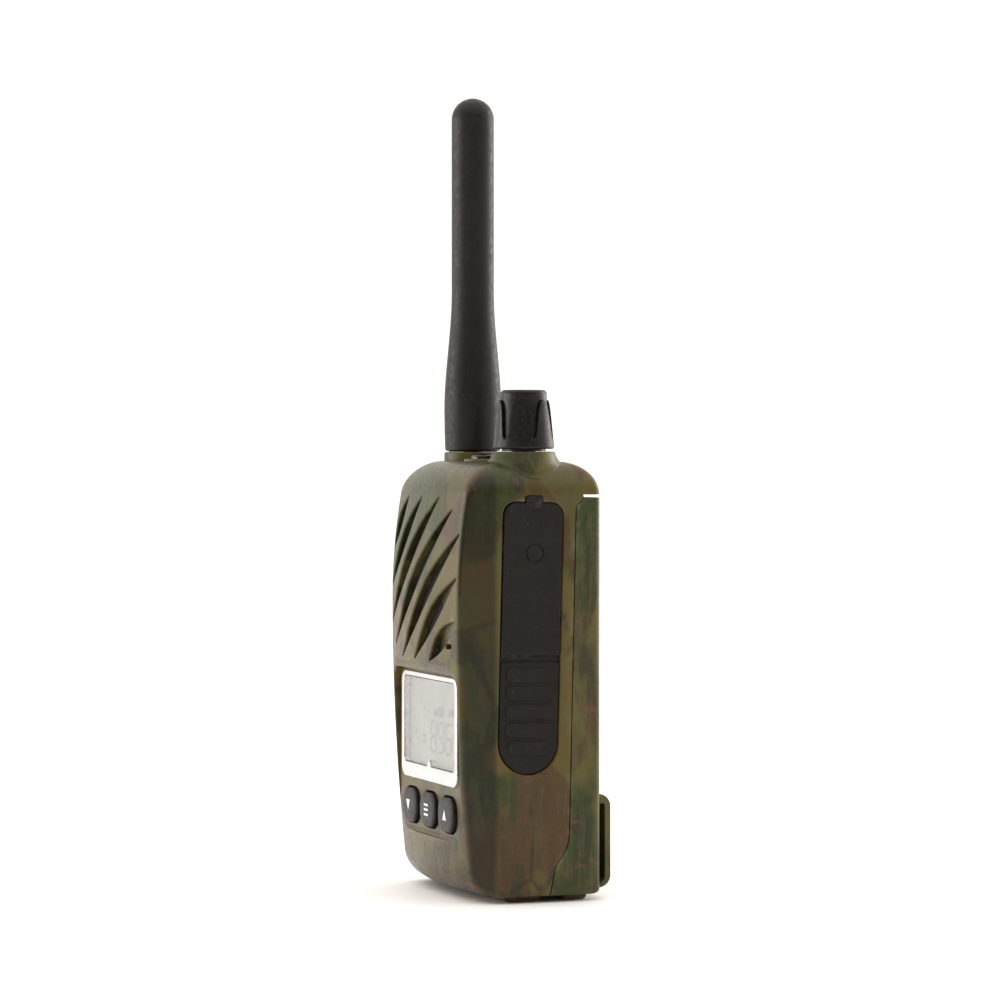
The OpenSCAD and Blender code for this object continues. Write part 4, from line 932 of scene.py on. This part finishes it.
def build_top_key():
    """A glossy domed key in a raised ring."""
    under = TOP_Z - WALL - 0.15
    crown = [(2.6 + 0.9 * math.cos(a), TOP_Z + 1.1 + 0.62 * math.sin(a))
             for a in (math.radians(d) for d in range(15, 91, 15))]
    dome = turned("top_key_dome", [(0, TOP_Z - 2.6), (4.4, TOP_Z - 2.6), (4.4, under), (3.5, under),
                                   (3.5, TOP_Z + 1.0)] + crown
                  + [(1.8, TOP_Z + 1.86), (0.9, TOP_Z + 1.96), (0, TOP_Z + 2.0)], 0, TOP_KEY_Y, 64)
    finish(dome, key_gloss, "top_button", ["top_key"], sharp=50)
    profile = [(3.8, 0), (5.4, 0), (5.38, 0.3), (5.2, 0.5), (4.9, 0.6), (4.1, 0.6), (3.9, 0.5),
               (3.8, 0.3), (3.8, 0)]
    ring = turned("top_key_surround", [(r, TOP_Z + z) for r, z in profile], 0, TOP_KEY_Y, 64)
    finish(ring, camo_case, "radio", ["top_key_ring"], sharp=50)


# ------------------------------------------------------------------ side cover
def peg_places():
    """Where the anchor's two pegs hold it to the casing."""
    return leaned([(0, ANCHOR_LOW + 7), (0, ANCHOR_HIGH - 6)])


def on_cover(name, outline, x0, x1):
    return plate_x(name, leaned(outline), x0, x1)


def rubber_sheet(name, low, high, top_x):
    """A stretch of the cover with a rounded outer edge."""
    steps = ((COVER_IN, 0.0), (top_x - 0.3, 0.0), (top_x - 0.12, 0.07), (top_x - 0.03, 0.2), (top_x, 0.42))
    return lofted(name, [[(x, y, z) for y, z in leaned(cover_outline(low, high, -d))] for x, d in steps])


def emblem_groove():
    """Cutter of the open ring sunk into the flap."""
    y, z = EMBLEM_Y, EMBLEM_Z
    ring = rod("ring", 2.45, (COVER_OUT - 0.22, y, z), (COVER_OUT + 1, y, z), 64)
    carve(ring, cut(rod("pip", 1.95, (28, y, z), (32, y, z), 64)))
    return carve(ring, cut(block("notch", (28, 32), (y - 1.2, y - 0.2), (z - 2.7, z - 1.1))))


def build_cover():
    """The rubber cover of the sockets: a flap with plugs and a tab, and a ribbed anchor."""
    flap = rubber_sheet("flap_rubber", FLAP_LOW, FLAP_HIGH, COVER_OUT)
    tab = on_cover("tab", rounded(4.2, 3.0, 0.6, 4, 0, FLAP_HIGH + 0.2), COVER_IN + 0.6, COVER_OUT + 0.15)
    skirt = on_cover("skirt", rounded(COVER_W - 0.3, 1.4, 0.05, 1, 0, FLAP_LOW - 0.2), 28.45, 28.75)
    plugs = [rod("plug", 2.5, (27.02, SOCKET_Y, z), (COVER_IN + 0.1, SOCKET_Y, z)) for z in SOCKET_ZS]
    carve(flap, join(tab, skirt, *plugs) + cut(emblem_groove()))
    finish(flap, cover_rubber, "socket_flap", ["cover_flap"], sharp=40)

    anchor = rubber_sheet("anchor_rubber", ANCHOR_LOW, ANCHOR_HIGH, COVER_OUT - 0.3)
    rib_steps = ((29.1, 0.0), (COVER_OUT - 0.14, 0.0), (COVER_OUT - 0.04, -0.08), (COVER_OUT, -0.25))
    ribs = []
    for i, w in enumerate((12.4, 12.4, 12.4, 12.4, 10.6)):
        rib = rounded(w, 3.5, 1.2, 5, 0, ANCHOR_HIGH - 3.2 - 4.6 * i)
        ribs.append(lofted("rib", [[(x, y, z) for y, z in leaned(grown(rib, g))] for x, g in rib_steps]))
    pegs = [rod("peg", 1.45, (24.9, y, z), (COVER_IN + 0.1, y, z), 24) for y, z in peg_places()]
    half, low = 7.8, ANCHOR_HIGH - 0.3
    web = on_cover("web", [(-half, low), (half, low), (half, HINGE_Z), (-half, HINGE_Z)], 28.45, 28.75)
    start, end = leaned([(-half, HINGE_Z), (half, HINGE_Z)])
    bead = rod("bead", 0.24, (28.6, *start), (28.6, *end), 24)
    carve(anchor, join(*ribs, *pegs, web, bead))
    finish(anchor, cover_rubber, "radio", ["cover_anchor"], sharp=40)


# ------------------------------------------------------------------ display
def build_display_frame(zc):
    """Bright frame with a deeper lower band and a small central peak, round a clear window."""
    front = PANEL_Y - 0.6
    outline = rounded(BEZEL_W, BEZEL_H, BEZEL_R, 8, 0, zc)
    surround = stepped_y("display_frame", outline, (
        (PANEL_Y, 0.0), (front + 0.3, 0.0), (front + 0.12, -0.05), (front + 0.03, -0.16), (front, -0.35)))
    neck_outline = rounded(BEZEL_W - 2.8, BEZEL_H - 4, 1.8, 6, 0, zc + 0.9)
    neck = plate_y("neck", neck_outline, PANEL_Y - 0.3, PANEL_Y + WALL - 0.1)
    low, high, side, r = zc - 10.0, zc + 12.5, 18.5, 1.5
    peak = [(-1.5, low), (-0.9, low + 0.4), (-0.3, low + 1.7), (0.3, low + 1.7), (0.9, low + 0.4), (1.5, low)]
    hole = arc(-side, low + r, r, 180, 270, 5) + peak + arc(side, low + r, r, 270, 360, 5)
    hole += arc(side, high - r, r, 0, 90, 5) + arc(-side, high - r, r, 90, 180, 5)
    carve(surround, join(neck) + cut(opening_y("window_opening", hole, -10, front, 0.25)))
    finish(surround, bezel_silver, "radio", ["display_bezel"], sharp=50)
    pane_outline = rounded(39.8, 22.3, 1.4, 6, 0, zc + 1.25)
    pane = plate_y("window_pane", pane_outline, PANEL_Y - 0.4, PANEL_Y + 0.7)
    finish(pane, window_clear, "radio", ["display_window"], bevel=0.1, segments=2)


def bar(x, z, w, h, lean=0.0):
    """One dark segment, leaning to the right by lean at each end."""
    corners = [(x - w / 2 - lean, z - h / 2), (x + w / 2 - lean, z - h / 2),
               (x + w / 2 + lean, z + h / 2), (x - w / 2 + lean, z + h / 2)]
    return plate_y("segment", corners, LCD_FRONT_Y, LCD_FRONT_Y - SEGMENT_T)


def digit(x, z, w, h, lit):
    """The lit bars of a seven-bar digit."""
    t, slant = w * 0.17, 0.1
    level, upright = (w - t, t), (t, h / 2 - t)
    spots = {"a": (0, h / 2, *level), "g": (0, 0, *level), "d": (0, -h / 2, *level),
             "f": (-w / 2, h / 4, *upright), "b": (w / 2, h / 4, *upright),
             "e": (-w / 2, -h / 4, *upright), "c": (w / 2, -h / 4, *upright)}
    chosen = [spots[k] for k in lit]
    return [bar(x + dx + dz * slant, z + dz, bw, bh, bh * slant / 2) for dx, dz, bw, bh in chosen]


def build_segments(zc):
    """Digits, signal steps and a small battery sign, joined as one thin piece on the cell."""
    marks = []
    for x, lit in ((-1.5, "abcdefg"), (4.4, "abcdfg"), (10.3, "acdefg")):
        marks += digit(x, zc - 2.4, 4.0, 7.6, lit)
    for x, lit in ((-8.5, "abged"), (-5.6, "abc")):
        marks += digit(x, zc + 4.4, 1.9, 3.4, lit)
    marks += [bar(-0.6 + 1.6 * k, zc + 3.6 + 0.22 * k, 0.95, 1.6 + 0.45 * k) for k in range(5)]
    marks += [bar(12.4, zc + 4.4, 3.6, 1.9), bar(14.6, zc + 4.4, 0.5, 1.0)]
    marks += [bar(-8.6, z, 2.4, 0.7) for z in (zc - 2.6, zc - 4.2)]
    whole = marks[0]
    bm = bmesh.new()
    for m in marks:
        bm.from_mesh(m.data)
    for m in marks[1:]:
        bpy.data.objects.remove(m, do_unlink=True)
    bm.to_mesh(whole.data)
    bm.free()
    whole.name = "display_segments"
    finish(whole, segment_dark, "radio", (), weighted=False)


def build_display():
    zc = BEZEL_Z + BEZEL_H / 2
    build_display_frame(zc)
    dress(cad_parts["lcd_glass"], lcd_grey)
    build_segments(zc)


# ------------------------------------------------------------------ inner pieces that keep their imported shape
INSIDE = {
    seal_grey: ("speaker_gasket", "keypad_mat", "chassis_seal"),
    cone_paper: ("speaker_cone",),
    steel_dark: ("speaker_frame", "speaker_magnet", "mic_capsule", "encoder_body", "encoder_nut"),
    inner_black: ("mic_boot", "socket_block", "contact_block", "top_switch", "ptt_switch", "call_switch",
                  "battery_tray"),
    diffuser_white: ("lcd_backlight", "board_link"),
    board_green: ("display_board", "radio_board", "top_key_board", "battery_board"),
    chip_epoxy: ("board_chips",),
    steel_tinned: ("key_switches", "board_screws", "shield_can", "chassis_screws", "antenna_nut"),
    cast_alloy: ("chassis",),
    gold_plate: ("contact_pins", "antenna_stud", "battery_pads", "charge_pads"),
    shaft_steel: ("knob_shaft",),
    rod_glassfibre: ("antenna_core",),
    copper: ("antenna_coil",),
    cell_wrap: ("battery_cells",)}

build_casing()
build_cloth()
build_battery()
build_feet()
build_knob()
build_antenna()
build_front_keys()
build_side_keys()
build_top_key()
build_cover()
build_display()
for look, names in INSIDE.items():
    for name in names:
        dress(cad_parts[name], look)


# ------------------------------------------------------------------ floor, light and camera
def linked(name, data):
    obj = bpy.data.objects.new(name, data)
    bpy.context.scene.collection.objects.link(obj)
    return obj


def soft_light(name, where, towards, size, power, colour):
    data = bpy.data.lights.new(name, "AREA")
    data.shape = "RECTANGLE"
    data.size, data.size_y = size
    data.energy = power
    data.color = colour
    lamp = linked(name, data)
    lamp.location = where
    lamp.rotation_euler = (Vector(towards) - Vector(where)).to_track_quat("-Z", "Y").to_euler()


def lay_floor():
    """A wide pale floor, very slightly uneven in tone."""
    floor = linked("studio_floor", bpy.data.meshes.new("studio_floor"))
    bm = bmesh.new()
    bmesh.ops.create_grid(bm, x_segments=1, y_segments=1, size=30)
    bm.to_mesh(floor.data)
    bm.free()
    pale, tree, shader = material("floor_white", 0.6)
    tone = between(tree, noise(tree, spread(tree), 0.002, 3), 0.3, 0.7)
    white = blended(tree, tone, (0.93, 0.93, 0.93, 1), (0.97, 0.97, 0.97, 1))
    tree.links.new(white, shader.inputs["Base Color"])
    floor.data.materials.append(pale)


def light_room():
    """Bright walls behind and beside the radio, a dark one where the camera stands, and a bright ceiling."""
    world = bpy.data.worlds.new("studio_air")
    world.use_nodes = True
    air = world.node_tree
    around = node(air, "ShaderNodeTexCoord").outputs["Generated"]
    facing = node(air, "ShaderNodeVectorMath", {0: around, 1: (0.90, -0.43, 0.0)}, operation="DOT_PRODUCT")
    height = node(air, "ShaderNodeSeparateXYZ", {"Vector": around}).outputs["Z"]
    dark_side = between(air, facing.outputs["Value"], 0.05, 0.8)
    walls = blended(air, dark_side, (1.2, 1.13, 1.07, 1), (0.14, 0.125, 0.115, 1))
    sky = blended(air, between(air, height, 0.3, 0.85), walls, (1.75, 1.68, 1.62, 1))
    air.links.new(sky, air.nodes["Background"].inputs["Color"])
    bpy.context.scene.world = world
    bpy.context.scene.view_settings.view_transform = "Standard"
    soft_light("front_light", (-0.55, -1.25, 0.12), (0, 0, 0.05), (1.1, 0.8), 12, (1, 0.94, 0.88))
    soft_light("rear_light", (-0.25, 1.3, 0.35), (0, 0, 0.06), (0.9, 0.9), 11, (1, 0.95, 0.9))


def place_camera():
    """A long lens nearly level with the radio, well round to its sockets' side."""
    around, dip = math.radians(70), math.radians(0.866)
    distance, aside, height = 0.920, 0.00124, 0.1145
    c, s = math.cos(around), math.sin(around)
    camera = linked("camera", bpy.data.cameras.new("camera"))
    camera.location = (distance * s + aside * c, -distance * c + aside * s, height)
    sight = Vector((-s * math.cos(dip), c * math.cos(dip), -math.sin(dip)))
    camera.rotation_euler = sight.to_track_quat("-Z", "Y").to_euler()
    camera.data.lens, camera.data.sensor_width = 128.6, 36
    camera.data.clip_start, camera.data.clip_end = 0.01, 100
    bpy.context.scene.camera = camera


lay_floor()
light_room()
place_camera()
